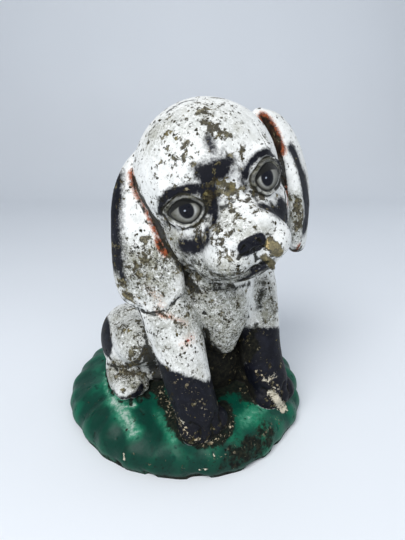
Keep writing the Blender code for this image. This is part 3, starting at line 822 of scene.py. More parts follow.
def find_marks(mesh):
    """Lays every stroke of the photograph on the stone."""
    tree = BVHTree.FromPolygons(
        [vertex.co for vertex in mesh.vertices], [tuple(face.vertices) for face in mesh.polygons]
    )
    groups = {
        "navy": NAVY_STROKES,
        "orange": ORANGE_STROKES,
        "red": CRACK_STROKES,
        "crack": DARK_CRACKS,
        "patch": LICHEN_STROKES,
        "moss": MOSS_STROKES,
        "grit": GRIT_STROKES,
        "grime_and_shade": GRIME_AND_SHADE_STROKES,
        "painted_highlight": HIGHLIGHT_STROKES,
        "mound_shade": MOUND_SHADE_STROKES,
        "dust": DUST_STROKES,
        "bare": BARE_STROKES,
    }
    marks = {}
    for group, strokes in groups.items():
        marks[group] = []
        for width, soft, strength, path in strokes.values():
            laid = landings(tree, path)
            if len(laid):
                marks[group].append((width / 1000, soft / 1000, strength, laid))
    return marks


def brushed(points, strokes):
    """How strongly the strokes cover each point: 0.5 of a stroke's strength on its edge."""
    cover = np.zeros(len(points))
    for width, soft, strength, laid in strokes:
        away = reach(points, laid, width + 2 * soft)
        cover = np.maximum(cover, strength * ramp(width + soft, width - soft, away))
    return cover


# Where each paint and growth lies; these are the names that the paint reads
PAINTED_BY = (
    *("navy", "orange", "red", "crack", "grit", "grime_and_shade", "painted_highlight", "bare", "moss", "green"),
    *("growth", "lid", "dust", "mound_shade", "hollow"),
)


# Dark patches on the sides that the photograph does not show, as strokes in dog millimetres
UNSEEN_PATCHES = {
    "left haunch": (17, 5, 0.92, ((88, 30, 36), (88, 14, 32))),
    "back": (20, 6, 0.9, ((2, 46, 104), (0, 60, 84), (2, 74, 60))),
    "right ear": (11, 5, 0.95, ((-80, -17, 198), (-84, -22, 172), (-84, -28, 140))),
    "left ear": (9, 5, 0.9, ((78, -46, 214), (86, -50, 186), (86, -56, 160))),
    "tail": (13, 4, 0.95, ((60, 90, 3), (74, 78, 1))),
    "back of the head": (16, 6, 0.9, ((-2, 4, 226), (12, 8, 212))),
}
UNSEEN_RAGGEDNESS = 9


def legs_and_thigh(points, dog):
    """The dark socks of the forelegs and the dark paint on the outside of the right thigh."""
    u, v = seen_at(points)
    edge = np.array(RIGHT_SOCK, float)
    below = v - np.interp(u, edge[:, 0], edge[:, 1])
    right_leg = ramp(-12, -16, dog[:, 0]) * ramp(-34, -38, dog[:, 1]) * ramp(92, 86, dog[:, 2])
    left_leg = ramp(10, 14, dog[:, 0]) * ramp(-30, -34, dog[:, 1]) * ramp(110, 104, dog[:, 2])
    below_left = v - LEFT_SOCK_LEVEL
    socks = np.maximum(right_leg * ramp(-2.4, 2.4, below), left_leg * ramp(-2.4, 2.4, below_left))
    edge = np.array(THIGH_EDGE, float)
    outside = np.interp(v, edge[:, 1], edge[:, 0]) - u
    thigh = ramp(-38, -42, dog[:, 0]) * ramp(-36, -32, dog[:, 1]) * ramp(17, 21, dog[:, 2])
    thigh *= ramp(76, 68, dog[:, 2]) * ramp(-1.6, 1.6, outside)
    thigh *= ramp(66, 56, dog[:, 1])
    return np.maximum(socks, thigh)


def unseen_paint(points, dog):
    """The same dark paint on the sides that the photograph does not show."""
    wobble = np.stack([lumps(points, 0.024, seed) for seed in (81, 82, 83)], axis=1) - 0.5
    ragged = dog + UNSEEN_RAGGEDNESS * wobble
    cover = np.zeros(len(points))
    for width, soft, strength, path in UNSEEN_PATCHES.values():
        laid = brushed(ragged, [(width, soft, strength, spline(path, 24))])
        cover = np.maximum(cover, laid)
    return cover


def nose_share(face):
    """1 on the nose leather and 0 off it; its outline is a rounded box."""
    across, level = np.abs(face[:, 0] + 0.4) / 10.6, np.abs(face[:, 2] + 26.9) / 7.2
    return ramp(1.06, 0.94, (across**3 + level**3) ** (1 / 3)) * ramp(-60, -64, face[:, 1])


def coverage(points, outward, marks, green):
    """The share of each paint and growth at each point, by name; green is the share of turf."""
    dog = mapped(points, dog_frame().inverted())
    face = mapped(points, head_frame().inverted())
    made = {name: brushed(points, strokes) for name, strokes in marks.items()}
    made["green"] = green
    nose = nose_share(face)
    # Painted shade between the forelegs, dark as the navy, with some soiling
    between = ramp(-30, -24, dog[:, 0]) * ramp(30, 24, dog[:, 0]) * ramp(-73, -67, dog[:, 1])
    between *= ramp(-6, -12, dog[:, 1]) * ramp(62, 50, dog[:, 2])
    for cover in (unseen_paint(points, dog), legs_and_thigh(points, dog), nose, between):
        made["navy"] = np.maximum(made["navy"], cover)
    made["navy"] *= 1 - green

    # Growth settles on what faces the sky, and painted shade darkens what faces down
    sky = np.clip(outward[:, 2], 0, 1)
    unseen = ramp(0.1, 0.5, outward @ np.array(camera_axes()[2]))
    density = 0.34 * made["patch"] + 0.03 * sky + 0.03 * made["grit"] + 0.03 * unseen
    growth = broken_lumps(points, 0.0052, 11, 3) + density - 0.14 * green
    clear = 1.0
    for eye in EYES:
        share, _ = eye_share(face, eye)
        share = np.where(face[:, 1] < -20, share, 9.0)
        clear = clear * ramp(0.98, 1.2, share)
        made["lid"] = np.minimum(made.get("lid", 9.0), share)
    made["growth"] = growth * clear - 0.22 * nose
    made["grit"] = np.clip(made["grit"] + 0.22 * unseen + 0.06, 0, 1)
    # Painted shade under what faces down, and soiling along the rim at the floor
    down = ramp(0.1, -0.7, outward[:, 2]) * ramp(3, 12, dog[:, 2])
    rim = ramp(0.009, 0.001, points[:, 2]) * (0.35 + 0.8 * lumps(points, 0.012, 71))
    for cover in (between, 0.55 * down, rim):
        made["grime_and_shade"] = np.maximum(made["grime_and_shade"], cover)
    return made


def turf_share(points):
    """1 on the mound and 0 on the dog."""
    clay = bmesh.new()
    mound(clay)
    tree = BVHTree.FromBMesh(clay)
    clay.free()
    edge = 2.0 + 2.4 * (lumps(points, 0.008, 5) - 0.5)
    away = np.array([tree.find_nearest(Vector(point))[3] for point in points]) * 1000
    outer = np.hypot(points[:, 0], points[:, 1]) > MOUND_DIAMETER * 0.46
    low = points[:, 2] < MOUND_HEIGHT * 0.7
    return np.maximum(ramp(0.7, -0.7, away - edge), outer & low)


def relief(points, *rows):
    """Lumps of several kinds, each given as its height in mm, its size in metres and its seed."""
    return sum(height * (lumps(points, size, seed) - 0.5) for height, size, seed in rows)


def roughen(statue, marks):
    """The unevenness of a hand-filled mould, the crust of lichen and the chips at the rim."""
    mesh = statue.data
    points, outward = positions(mesh), normals(mesh)
    green = turf_share(points)
    cover = coverage(points, outward, marks, green)
    smooth_eye = ramp(1.1, 1.8, cover["lid"])
    stone = relief(points, (0.7, 0.022, 21), (0.4, 0.009, 22), (0.22, 0.004, 23))
    turf = relief(points, (3.4, 0.034, 31), (1.3, 0.016, 32), (0.3, 0.005, 33))
    turf *= ramp(0.000, 0.006, points[:, 2])
    crust = 0.30 * ramp(0.70, 0.86, cover["growth"]) * (0.3 + lumps(points, 0.002, 41))
    crust += 1.5 * cover["moss"] * (0.35 + broken_lumps(points, 0.0036, 42, 2))
    pits = 0.5 * ramp(0.80, 0.92, lumps(points, 0.0045, 51))
    cracks = 0.5 * np.maximum(cover["crack"], cover["red"])
    flakes = 0.35 * ramp(0.4, 0.6, cover["bare"])
    near_floor = ramp(0.010, 0.003, points[:, 2])
    chips = 1.9 * ramp(0.62, 0.80, lumps(points, 0.012, 61)) * near_floor * green
    raised = (stone * (1 - green) + turf * green) * (0.35 + 0.65 * smooth_eye)
    raised += (crust - pits - cracks - flakes) * smooth_eye - chips
    points = points + outward * (raised / 1000)[:, None]
    move_to(mesh, points)
    return points, green


def thin_out(statue):
    """Leaves about TRIANGLES triangles, fewest where the stone is flattest."""
    triangles = sum(len(face.vertices) - 2 for face in statue.data.polygons)
    fewer = statue.modifiers.new("fewer", "DECIMATE")
    fewer.ratio = min(1.0, TRIANGLES / triangles)
    settle(statue)


def cut_flat(statue):
    """Cuts the underside flat at Z = 0."""
    work = bmesh.new()
    work.from_mesh(statue.data)
    everything = work.verts[:] + work.edges[:] + work.faces[:]
    bmesh.ops.bisect_plane(
        work, geom=everything, dist=1e-6, plane_co=(0, 0, 0), plane_no=(0, 0, -1), clear_outer=True
    )
    rim = [edge for edge in work.edges if edge.is_boundary]
    bmesh.ops.holes_fill(work, edges=rim, sides=0)
    bmesh.ops.triangulate(work, faces=work.faces[:])
    bmesh.ops.recalc_face_normals(work, faces=work.faces[:])
    work.to_mesh(statue.data)
    work.free()


def nearest_values(points, known, values):
    """The value of the nearest known point, for each point."""
    tree = KDTree(len(known))
    for index, point in enumerate(known):
        tree.insert(point, index)
    tree.balance()
    return values[[tree.find(point)[1] for point in points]]


def write_attributes(statue, marks, green_points, green):
    """Keeps the coverage on the mesh, for the paint to read."""
    mesh = statue.data
    points, outward = positions(mesh), normals(mesh)
    cover = coverage(points, outward, marks, nearest_values(points, green_points, green))
    # Hollows are where the skin lies inside the middle of its neighbours
    eased = relax(points, mesh, np.full(len(points), 0.5), 10)
    cover["hollow"] = np.clip(((eased - points) * outward).sum(axis=1) * 1000 / 0.5, -1, 1)
    for name in PAINTED_BY:
        layer = mesh.attributes.new(name, "FLOAT", "POINT")
        layer.data.foreach_set("value", cover[name].astype(np.float32))
    face = mapped(points, head_frame().inverted())
    layer = mesh.attributes.new("face", "FLOAT_VECTOR", "POINT")
    layer.data.foreach_set("vector", face.astype(np.float32).ravel())


# Materials


class Layers:
    """Shorthand for laying out the nodes of a material."""

    def __init__(self, material):
        material.use_nodes = True
        self.nodes = material.node_tree.nodes
        self.links = material.node_tree.links
        self.shader = self.nodes["Principled BSDF"]
        self.place = self.nodes.new("ShaderNodeTexCoord").outputs["Object"]

    def feed(self, value, socket):
        if isinstance(value, bpy.types.NodeSocket):
            self.links.new(value, socket)
        elif socket.type == "RGBA":
            socket.default_value = (*value, 1.0)
        else:
            socket.default_value = value

    def attribute(self, name, output="Fac"):
        made = self.nodes.new("ShaderNodeAttribute")
        made.attribute_name = name
        return made.outputs[output]

    def shifted(self, shift):
        made = self.nodes.new("ShaderNodeVectorMath")
        made.operation = "ADD"
        self.feed(self.place, made.inputs[0])
        made.inputs[1].default_value = (shift * 0.37, shift * 0.73, shift * -0.51)
        return made.outputs[0]

    def noise(self, size, detail=2.0, rough=0.5, shift=0.0, warp=0.0):
        """Noise from 0 to 1; size is the width of its spots in metres."""
        made = self.nodes.new("ShaderNodeTexNoise")
        self.feed(self.shifted(shift), made.inputs["Vector"])
        made.inputs["Scale"].default_value = 1.0 / size
        made.inputs["Detail"].default_value = detail
        made.inputs["Roughness"].default_value = rough
        made.inputs["Distortion"].default_value = warp
        return made.outputs["Fac"]

    def warped(self, size, shift):
        """The place of each point, pushed about by up to about half of size."""
        push = self.nodes.new("ShaderNodeTexNoise")
        self.feed(self.shifted(shift + 3.0), push.inputs["Vector"])
        push.inputs["Scale"].default_value = 1.6 / size
        push.inputs["Detail"].default_value = 4.0
        push.inputs["Roughness"].default_value = 0.7
        middle = self.nodes.new("ShaderNodeVectorMath")
        middle.operation = "SUBTRACT"
        self.feed(push.outputs["Color"], middle.inputs[0])
        middle.inputs[1].default_value = (0.5, 0.5, 0.5)
        spread = self.nodes.new("ShaderNodeVectorMath")
        spread.operation = "MULTIPLY_ADD"
        self.feed(middle.outputs[0], spread.inputs[0])
        spread.inputs[1].default_value = (size * 2.4, size * 2.4, size * 2.4)
        self.feed(self.shifted(shift), spread.inputs[2])
        return spread.outputs[0]

    def cells(self, size, feature="F1", shift=0.0, output="Distance"):
        made = self.nodes.new("ShaderNodeTexVoronoi")
        made.feature = feature
        self.feed(self.warped(size, shift), made.inputs["Vector"])
        made.inputs["Scale"].default_value = 1.0 / size
        return made.outputs[output]

    def maths(self, operation, a, b=0.0):
        made = self.nodes.new("ShaderNodeMath")
        made.operation = operation
        self.feed(a, made.inputs[0])
        self.feed(b, made.inputs[1])
        return made.outputs[0]

    def step(self, low, high, value):
        """0 below low and 1 above high, with a smooth rise between; low may be above high."""
        made = self.nodes.new("ShaderNodeMapRange")
        made.interpolation_type = "SMOOTHSTEP"
        low_end, high_end = min(low, high), max(low, high)
        self.feed(value, made.inputs["Value"])
        made.inputs["From Min"].default_value = low_end
        made.inputs["From Max"].default_value = high_end
        made.inputs["To Min"].default_value = 0.0 if low <= high else 1.0
        made.inputs["To Max"].default_value = 1.0 if low <= high else 0.0
        return made.outputs[0]

    def mix(self, share, a, b):
        made = self.nodes.new("ShaderNodeMix")
        made.data_type = "RGBA"
        self.feed(share, made.inputs[0])
        self.feed(a, made.inputs[6])
        self.feed(b, made.inputs[7])
        return made.outputs[2]

    def blend(self, share, a, b):
        made = self.nodes.new("ShaderNodeMix")
        made.data_type = "FLOAT"
        self.feed(share, made.inputs[0])
        self.feed(a, made.inputs[2])
        self.feed(b, made.inputs[3])
        return made.outputs[0]

    def times(self, a, b):
        return self.maths("MULTIPLY", a, b)

    def plus(self, a, b):
        return self.maths("ADD", a, b)

    def minus(self, a, b):
        return self.maths("SUBTRACT", a, b)

    def either(self, a, b):
        """The greater of two."""
        return self.maths("MAXIMUM", a, b)

    def swing(self, noise, amount):
        """Noise that lies about 0 instead of about a half, times an amount."""
        return self.times(self.plus(noise, -0.5), amount)

    def flecks(self, size, reach, shift):
        """Ragged spots, at most one to a cell of size metres, up to reach cells in radius."""
        made = self.nodes.new("ShaderNodeTexVoronoi")
        self.feed(self.shifted(shift), made.inputs["Vector"])
        made.inputs["Scale"].default_value = 1.0 / size
        chance = self.nodes.new("ShaderNodeSeparateColor")
        self.feed(made.outputs["Color"], chance.inputs[0])
        ragged = self.swing(self.noise(size * 0.5, 2.0, 0.6, shift + 1.0), 0.80)
        away = self.plus(made.outputs["Distance"], ragged)
        radius = self.times(self.times(chance.outputs[0], chance.outputs[0]), reach)
        return self.step(0.03, -0.03, self.minus(away, radius))

    def lace(self, size, low, shift):
        """Fine broken noise cut at a level, which leaves ragged specks and threads."""
        return self.step(0.0, 0.025, self.minus(self.noise(size, 6.0, 0.72, shift), low))

    def grain(self, size, shift):
        """A random value from 0 to 1 for each crumb of the given size."""
        made = self.nodes.new("ShaderNodeSeparateColor")
        self.feed(self.cells(size, shift=shift, output="Color"), made.inputs[0])
        return made.outputs[0]

    def across_face(self, centre):
        """How far a point of the face lies across and above a centre, in head millimetres."""
        parts = self.nodes.new("ShaderNodeSeparateXYZ")
        self.links.new(self.attribute("face", "Vector"), parts.inputs[0])
        across = self.minus(parts.outputs["X"], centre[0])
        above = self.minus(parts.outputs["Z"], centre[1])
        front = self.step(-20.0, -24.0, parts.outputs["Y"])
        return across, above, front

    def spot(self, centre, radii, soft):
        """An oval spot on the face, with its radii in millimetres and its soft edge as a share."""
        across, above, front = self.across_face(centre)
        across, above = self.maths("DIVIDE", across, radii[0]), self.maths("DIVIDE", above, radii[1])
        away = self.maths("SQRT", self.plus(self.times(across, across), self.times(above, above)))
        return self.times(self.step(1 + soft, 1 - soft, away), front)

    def above(self, centre, low, high):
        """The shade below an upper lid, from none at low to full at high above a centre."""
        across, above, front = self.across_face(centre)
        near = self.step(16.0, 14.0, self.maths("ABSOLUTE", across))
        arch = self.plus(above, self.times(self.times(across, across), 0.035))
        return self.times(self.times(self.step(low, high, arch), near), front)


class StonePaint(Layers):
    """The layers of the painted stone, with the noises and coverage that several of them share."""

    def __init__(self, material):
        super().__init__(material)
        self.fine = self.noise(0.0011, 3.0, 0.6, 1.0)
        self.small = self.noise(0.0030, 4.0, 0.6, 2.0)
        self.middling = self.noise(0.0085, 4.0, 0.6, 3.0)
        self.broad = self.noise(0.032, 3.0, 0.5, 4.0)
        self.crumbs = self.noise(0.0016, 2.0, 0.7, 5.0)
        self.grit = self.attribute("grit")
        self.grime_and_shade = self.attribute("grime_and_shade")
        self.hollow = self.attribute("hollow")

    def frayed(self, value, by_small, by_fine):
        """A coverage whose edge the small and the fine noise break up."""
        value = self.plus(value, self.swing(self.small, by_small))
        return self.plus(value, self.swing(self.fine, by_fine))


def chalk(t):
    """Chalky white, greyer where it is thin, with a mottled veil of soil in the gritty places."""
    colour = t.mix(t.broad, (0.74, 0.75, 0.73), (0.86, 0.87, 0.86))
    colour = t.mix(t.times(t.step(0.46, 0.72, t.middling), 0.34), colour, (0.45, 0.47, 0.46))
    colour = t.mix(t.times(t.step(0.54, 0.66, t.small), 0.30), colour, (0.40, 0.40, 0.36))
    veil = t.times(t.step(0.25, 0.60, t.frayed(0.5, 0.9, 0.9)), t.times(t.grit, 0.88))
    colour = t.mix(veil, colour, (0.25, 0.255, 0.215))
    stain = t.step(0.50, 0.70, t.noise(0.019, 4.0, 0.6, 6.0))
    return t.mix(t.times(stain, t.blend(t.grit, 0.08, 0.60)), colour, (0.20, 0.190, 0.120))


def orange_paint(t, colour):
    """Orange underpaint, bleeding pink at its edges, and red hair cracks."""
    orange = t.attribute("orange")
    rust = t.mix(t.step(0.35, 0.65, t.small), (0.085, 0.020, 0.008), (0.30, 0.078, 0.030))
    rust = t.mix(t.step(0.75, 0.45, orange), rust, (0.50, 0.215, 0.125))
    rust = t.mix(t.step(0.55, 0.20, orange), rust, (0.80, 0.54, 0.42))
    share = t.times(t.step(0.05, 0.95, t.frayed(orange, 0.9, 0.9)), t.step(0.02, 0.30, orange))
    colour = t.mix(share, colour, rust)
    red = t.step(0.35, 0.65, t.frayed(t.attribute("red"), 0.5, 0.3))
    return t.mix(t.times(red, 0.85), colour, (0.42, 0.060, 0.025)), red


def navy_paint(t, colour):
    """Navy paint with dry-brushed edges."""
    cover = t.attribute("navy")
    solid = t.step(0.22, 0.90, t.frayed(cover, 0.65, 0.55))
    veiled = t.times(t.step(0.0, 0.50, cover), 0.78)
    navy = t.either(solid, t.times(veiled, t.step(0.36, 0.62, t.noise(0.0026, 5.0, 0.7, 21.0))))
    thin = t.step(0.45, 0.75, t.middling)
    shade = t.mix(thin, (0.0030, 0.0034, 0.0070), (0.0085, 0.0095, 0.0170))
    return t.mix(navy, colour, shade), navy


def green_paint(t, colour):
    """Glossy green on the mound, with painted highlights on ridges and lit streaks, painted shade low
    down, and pale where scuffed and under a painted sheen.
    """
    painted_highlight, mound_shade = t.attribute("painted_highlight"), t.attribute("mound_shade")
    # Painted highlights, lighter green on convex ridges and lit streaks; the broad noise varies the tone
    # at random
    lit = t.plus(t.times(painted_highlight, 0.70), t.times(t.step(0.40, 0.80, t.broad), 0.25))
    lit = t.plus(lit, t.times(t.step(0.0, -0.7, t.hollow), 0.30))
    # Painted shade: darker green low on the mound
    lit = t.minus(lit, t.times(mound_shade, 0.35))
    turf = t.mix(lit, (0.0010, 0.046, 0.0300), (0.0090, 0.215, 0.110))
    turf = t.mix(t.times(mound_shade, 0.55), turf, (0.0007, 0.021, 0.0130))
    turf = t.mix(t.times(t.step(0.50, 0.74, t.middling), 0.55), turf, (0.0008, 0.019, 0.0125))
    black = t.lace(0.0030, t.minus(0.66, t.times(t.step(0.42, 0.66, t.broad), 0.07)), 31.0)
    turf = t.mix(t.times(black, 0.9), turf, (0.0030, 0.0050, 0.0035))
    # Pale scuffs, with a pale painted sheen along the lit streaks
    scuffs_and_sheen = t.plus(painted_highlight, t.swing(t.noise(0.0045, 5.0, 0.7, 22.0), 1.5))
    turf = t.mix(t.times(t.step(0.25, 0.95, scuffs_and_sheen), 0.70), turf, (0.090, 0.30, 0.200))
    turf = t.mix(t.times(t.step(0.66, 1.15, scuffs_and_sheen), 0.85), turf, (0.50, 0.58, 0.52))
    green = t.step(0.40, 0.60, t.frayed(t.attribute("green"), 0.4, 0.2))
    return t.mix(green, colour, turf), green


def crease_shade_and_soil(t, colour):
    """Painted shade in creases, hollows and under ledges, and soiling along the rim and about the paws.
    """
    # Painted shade in the hollows, added to the strokes of soiling and shade
    dirt_and_shade = t.plus(t.grime_and_shade, t.times(t.step(0.20, 0.9, t.hollow), 0.7))
    dirt_and_shade = t.plus(dirt_and_shade, t.swing(t.noise(0.0070, 6.0, 0.72, 29.0), 2.2))
    sheltered = t.step(0.02, 0.20, t.plus(t.grime_and_shade, t.step(0.1, 0.5, t.hollow)))
    dirt_and_shade = t.times(t.step(0.30, 0.75, dirt_and_shade), sheltered)
    # One dark colour for both the soiling and the painted shade
    earth_and_shade = t.mix(t.step(0.40, 0.70, t.small), (0.0040, 0.0044, 0.0036), (0.0190, 0.0180, 0.0110))
    return t.mix(t.times(dirt_and_shade, 0.94), colour, earth_and_shade), dirt_and_shade


def knocks(t, colour, dark):
    """Paint knocked off down to pale stone, and pale flecks on the dirty dark paint."""
    bare = t.plus(t.attribute("bare"), t.swing(t.noise(0.0030, 5.0, 0.75, 23.0), 2.6))
    bare = t.step(0.62, 0.80, bare)
    colour = t.mix(bare, colour, t.mix(t.crumbs, (0.26, 0.215, 0.130), (0.84, 0.80, 0.68)))
    dust = t.attribute("dust")
    ragged = t.lace(0.0030, t.blend(dust, 0.72, 0.545), 13.0)
    ragged = t.times(ragged, t.times(dark, t.step(0.02, 0.15, dust)))
    large = t.times(t.flecks(0.0036, 0.42, 14.0), t.times(dark, t.step(0.30, 0.70, dust)))
    flecks = t.either(ragged, large)
    pale = t.mix(t.grain(0.0018, 24.0), (0.12, 0.090, 0.045), (0.58, 0.50, 0.35))
    return t.mix(flecks, colour, pale), bare, flecks


def dark_specks(t, colour, dark):
    """Black and brown specks, thick where it is gritty."""
    cluster = t.plus(t.noise(0.011, 3.0, 0.6, 8.0), -0.5)
    level = t.minus(t.blend(t.grit, 0.640, 0.600), t.times(cluster, 0.34))
    lace = t.lace(0.0034, level, 17.0)
    level = t.minus(t.blend(t.grit, 0.640, 0.555), t.times(cluster, 0.20))
    threads = t.times(t.lace(0.0016, level, 19.0), t.blend(t.grit, 0.60, 0.95))
    coarse = t.times(t.flecks(0.0034, 0.42, 18.0), t.step(0.44, 0.56, t.plus(cluster, 0.5)))
    specks = t.times(t.either(t.either(lace, threads), coarse), t.blend(dark, 1.0, 0.0))
    shade = t.mix(t.grain(0.0026, 25.0), (0.0070, 0.0062, 0.0045), (0.0520, 0.0420, 0.0200))
    return t.mix(specks, colour, shade), specks


def lichen(t, colour, dark, bare):
    """Crusts of lichen, crumbly and mottled, and lumps of moss."""
    moss = t.step(0.35, 0.60, t.frayed(t.attribute("moss"), 0.6, 0.5))
    edge = t.plus(t.attribute("growth"), t.swing(t.noise(0.0042, 6.0, 0.72, 26.0), 1.9))
    crust = t.either(t.step(0.765, 0.790, edge), moss)
    crumb = t.grain(0.0026, 27.0)
    mottle = t.step(0.44, 0.54, t.noise(0.0030, 6.0, 0.75, 28.0))
    olive = t.mix(mottle, (0.0105, 0.0085, 0.0045), (0.130, 0.114, 0.062))
    olive = t.mix(t.times(t.step(0.72, 0.96, crumb), 0.7), olive, (0.34, 0.305, 0.200))
    dark_growth = t.step(0.50, 0.60, t.noise(0.015, 3.0, 0.6, 32.0))
    olive = t.mix(t.times(dark_growth, 0.72), olive, (0.017, 0.0125, 0.0065))
    olive = t.mix(t.times(t.step(0.40, 0.20, crumb), 0.85), olive, (0.020, 0.015, 0.008))
    yellow = t.times(t.step(0.60, 0.70, t.noise(0.017, 2.0, 0.5, 10.0)), 0.6)
    olive = t.mix(yellow, olive, (0.20, 0.150, 0.020))
    olive = t.mix(moss, olive, t.mix(crumb, (0.032, 0.026, 0.011), (0.250, 0.205, 0.092)))
    colour = t.mix(t.times(crust, 0.94), colour, olive)
    fringe = t.times(t.step(0.66, 0.775, edge), t.blend(dark, 0.55, 0.0))
    colour = t.mix(t.times(fringe, t.step(0.48, 0.60, t.fine)), colour, (0.085, 0.075, 0.048))
    return t.mix(t.times(bare, moss), colour, (0.66, 0.50, 0.24)), crust


def hair_cracks(t, colour, dark):
    """Dark hair cracks in the paint of the crown."""
    crack = t.step(0.30, 0.60, t.frayed(t.attribute("crack"), 0.6, 0.3))
    crack = t.times(crack, t.blend(dark, 1.0, 0.0))
    return t.mix(t.times(crack, 0.9), colour, (0.030, 0.022, 0.014)), crack


# Each painted eye, in head millimetres: its pupil's place and radii, how far above the pupil the
# lid's shade starts, and how far beside it the white is dimmest
PAINTED_EYES = (
    ((-29.6, 5.2), (5.2, 6.6), 3.9, -7.5),
    ((31.8, 2.8), (5.2, 6.8), 3.4, 5.5),
)


def painted_eyes(t, colour, navy):
    """A dirty white ball with painted shade under the lid and round its edge, an olive rim, and a pupil
    with a painted glint.
    """
    lid = t.attribute("lid")
    ball = t.step(0.98, 0.93, lid)
    white = t.mix(t.step(0.45, 0.75, t.small), (0.70, 0.72, 0.70), (0.34, 0.33, 0.26))
    # Painted shade, with some soiling, darkening the ball towards the lids
    white = t.mix(t.times(t.step(0.35, 0.90, lid), 0.90), white, (0.050, 0.046, 0.030))
    colour = t.mix(ball, colour, white)
    rim = t.times(t.step(0.98, 1.02, lid), t.step(1.34, 1.18, lid))
    upper_rim = t.times(t.step(0.98, 1.02, lid), t.step(1.58, 1.36, lid))
    lid_colour = t.mix(t.step(0.38, 0.62, t.small), (0.014, 0.014, 0.011), (0.110, 0.108, 0.078))
    under_lid = t.mix(t.step(0.38, 0.62, t.small), (0.070, 0.068, 0.050), (0.42, 0.42, 0.37))
    for pupil, size, lid_line, outer in PAINTED_EYES:
        dim = t.times(t.spot((pupil[0] + outer, pupil[1] - 1.0), (6.0, 9.0), 0.8), ball)
        colour = t.mix(t.times(dim, 0.70), colour, (0.060, 0.057, 0.040))
        iris = t.times(t.spot(pupil, size, 0.14), ball)
        colour = t.mix(iris, colour, (0.0035, 0.0042, 0.0085))
        # A painted reflection on the pupil
        glint = t.spot((pupil[0] - 1.2, pupil[1] + 0.2), (0.7, 0.6), 0.5)
        colour = t.mix(t.times(glint, ball), colour, (0.34, 0.38, 0.45))
        shade = t.times(t.above(pupil, lid_line, lid_line + 1.0), ball)
        colour = t.mix(shade, colour, (0.010, 0.010, 0.009))
        top = t.above(pupil, -3.5, 1.5)
        share = t.times(t.times(upper_rim, top), t.blend(navy, 0.88, 0.20))
        colour = t.mix(share, colour, lid_colour)
        low_rim = t.times(t.times(rim, t.spot(pupil, (17.0, 17.0), 0.05)), t.minus(1.0, top))
        colour = t.mix(t.times(low_rim, t.blend(navy, 0.70, 0.10)), colour, under_lid)
    # A painted shade line where the ball meets the lid
    line = t.times(t.step(0.84, 0.94, lid), t.step(1.13, 1.02, lid))
    colour = t.mix(t.times(line, 0.95), colour, (0.011, 0.011, 0.010))
    # Painted shade, broken by noise, in the fold outside the lid
    fold = t.times(t.step(1.22, 1.34, lid), t.step(1.56, 1.40, lid))
    fold = t.times(fold, t.step(0.62, 0.46, t.small))
    return t.mix(t.times(fold, 0.8), colour, (0.030, 0.028, 0.020)), ball


def sheen(t, navy, green, ball, worn):
    """The roughness: chalk is dull, navy is satin, green is glossy, crust, soiling and painted shade are
    dull.
    """
    chalk_rough, nose_rough, eye_rough, worn_rough = 0.80, 0.26, 0.42, 0.95
    rough = t.blend(navy, chalk_rough, t.blend(t.small, 0.45, 0.62))
    rough = t.blend(t.spot((-0.4, -27.0), (12.0, 9.0), 0.1), rough, nose_rough)
    rough = t.blend(ball, rough, eye_rough)
    rough = t.blend(green, rough, t.blend(t.middling, 0.30, 0.58))
    return t.blend(worn, rough, worn_rough)


def fine_relief(t, raised, sunk):
    """The relief finer than the mesh; raised and sunk are layers with their heights."""
    height = t.plus(t.times(t.fine, 0.30), t.times(t.small, 0.50))
    for layer, amount in raised:
        height = t.plus(height, t.times(layer, amount))
    for layer, amount in sunk:
        height = t.minus(height, t.times(layer, amount))
    bump = t.nodes.new("ShaderNodeBump")
    bump.inputs["Strength"].default_value = 0.75
    bump.inputs["Distance"].default_value = 0.0006
    t.feed(height, bump.inputs["Height"])
    return bump.outputs[0]


def painted_stone():
    """White, navy and green paint, worn through to stone and grown over with lichen."""
    material = bpy.data.materials.new("painted_stone")
    t = StonePaint(material)
    colour = chalk(t)
    colour, red = orange_paint(t, colour)
    colour, navy = navy_paint(t, colour)
    colour, green = green_paint(t, colour)
    dark = t.either(navy, green)
    colour, dirt_and_shade = crease_shade_and_soil(t, colour)
    colour, bare, flecks = knocks(t, colour, dark)
    colour, specks = dark_specks(t, colour, dark)
    colour, crust = lichen(t, colour, dark, bare)
    colour, crack = hair_cracks(t, colour, dark)
    colour, ball = painted_eyes(t, colour, navy)
    t.feed(colour, t.shader.inputs["Base Color"])
    worn = t.either(t.either(dirt_and_shade, crust), t.either(specks, t.either(bare, flecks)))
    t.feed(sheen(t, navy, green, ball, worn), t.shader.inputs["Roughness"])
    t.shader.inputs["Specular IOR Level"].default_value = 0.18
    raised = ((crust, t.plus(0.5, t.times(t.crumbs, 1.2))), (specks, 0.35), (flecks, 0.5))
    sunk = ((crack, 0.9), (red, 0.5), (bare, 0.6))
    t.feed(fine_relief(t, raised, sunk), t.shader.inputs["Normal"])
    return material


# The stage


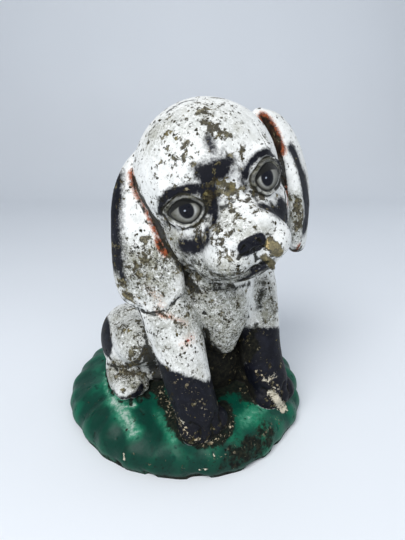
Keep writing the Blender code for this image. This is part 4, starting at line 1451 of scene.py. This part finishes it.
def backdrop():
    """A pale floor that curves up into a pale wall well behind the statue."""
    floor_front, floor_back, cove, wall = -2.2, 1.0, 0.5, 3.0
    profile = [(floor_front, 0.0), (floor_back, 0.0)]
    for k in range(1, 17):
        angle = k / 16 * math.pi / 2
        profile.append((floor_back + cove * math.sin(angle), cove * (1 - math.cos(angle))))
    profile.append((floor_back + cove, wall))
    right, _, _ = camera_axes()
    away = Vector((-right.y, right.x, 0.0))
    work = bmesh.new()
    half_width = 3.0
    rows = []
    for along, height in profile:
        foot = away * along + Vector((0, 0, height))
        rows.append([work.verts.new(foot + right * side * half_width) for side in (-1, 1)])
    for lower, upper in zip(rows, rows[1:]):
        work.faces.new((lower[0], lower[1], upper[1], upper[0]))
    mesh = bpy.data.meshes.new("backdrop")
    work.to_mesh(mesh)
    work.free()
    mesh.shade_smooth()
    made = bpy.data.objects.new("backdrop", mesh)
    bpy.context.scene.collection.objects.link(made)
    material = bpy.data.materials.new("backdrop")
    t = Layers(material)
    pale = t.mix(t.noise(0.25, 2.0), (0.80, 0.83, 0.87), (0.83, 0.86, 0.90))
    t.feed(pale, t.shader.inputs["Base Color"])
    t.shader.inputs["Roughness"].default_value = 0.55
    mesh.materials.append(material)


def softbox(name, place, target, size, power, colour=(1.0, 1.0, 1.0)):
    data = bpy.data.lights.new(name, "AREA")
    data.shape = "DISK"
    data.size = size
    data.energy = power
    data.color = colour
    made = bpy.data.objects.new(name, data)
    made.location = place
    made.rotation_euler = (Vector(target) - Vector(place)).to_track_quat("-Z", "Y").to_euler()
    bpy.context.scene.collection.objects.link(made)


def lights():
    middle = (0.0, 0.0, 0.15)
    softbox("key", (-0.85, -0.55, 1.25), middle, 0.8, 18.5)
    softbox("front", (-0.2, -1.4, 0.8), middle, 1.2, 4.5)
    softbox("fill", (1.2, -0.3, 0.7), middle, 1.2, 3.0, (0.92, 0.96, 1.0))
    world = bpy.data.worlds.new("studio")
    world.use_nodes = True
    background = world.node_tree.nodes["Background"]
    background.inputs["Color"].default_value = (0.80, 0.87, 0.96, 1.0)
    background.inputs["Strength"].default_value = 0.40
    bpy.context.scene.world = world


def camera():
    data = bpy.data.cameras.new("camera")
    data.lens = CAMERA_LENS
    data.sensor_width = CAMERA_SENSOR
    data.clip_start = 0.01
    made = bpy.data.objects.new("camera", data)
    made.location = CAMERA_AT
    made.rotation_euler = camera_axes()[2].to_track_quat("-Z", "Y").to_euler()
    bpy.context.scene.collection.objects.link(made)
    bpy.context.scene.camera = made


def make_statue():
    clay = bmesh.new()
    mound(clay)
    body(clay)
    foreleg(clay, -51, -49, -43)
    foreleg(clay, 44, 33, 37)
    for side in (-1, 1):
        haunch(clay, side)
    tail(clay)
    head(clay)
    ears(clay)
    statue = fused(clay, "painted_dog")
    carve(statue)
    marks = find_marks(statue.data)
    green_points, green = roughen(statue, marks)
    thin_out(statue)
    cut_flat(statue)
    write_attributes(statue, marks, green_points, green)
    statue.data.shade_smooth()
    statue.data.materials.clear()
    statue.data.materials.append(painted_stone())
    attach(statue, "root")
    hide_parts("dog_statue")


camera()
backdrop()
lights()
make_statue()
bpy.context.scene.view_settings.view_transform = "Standard"
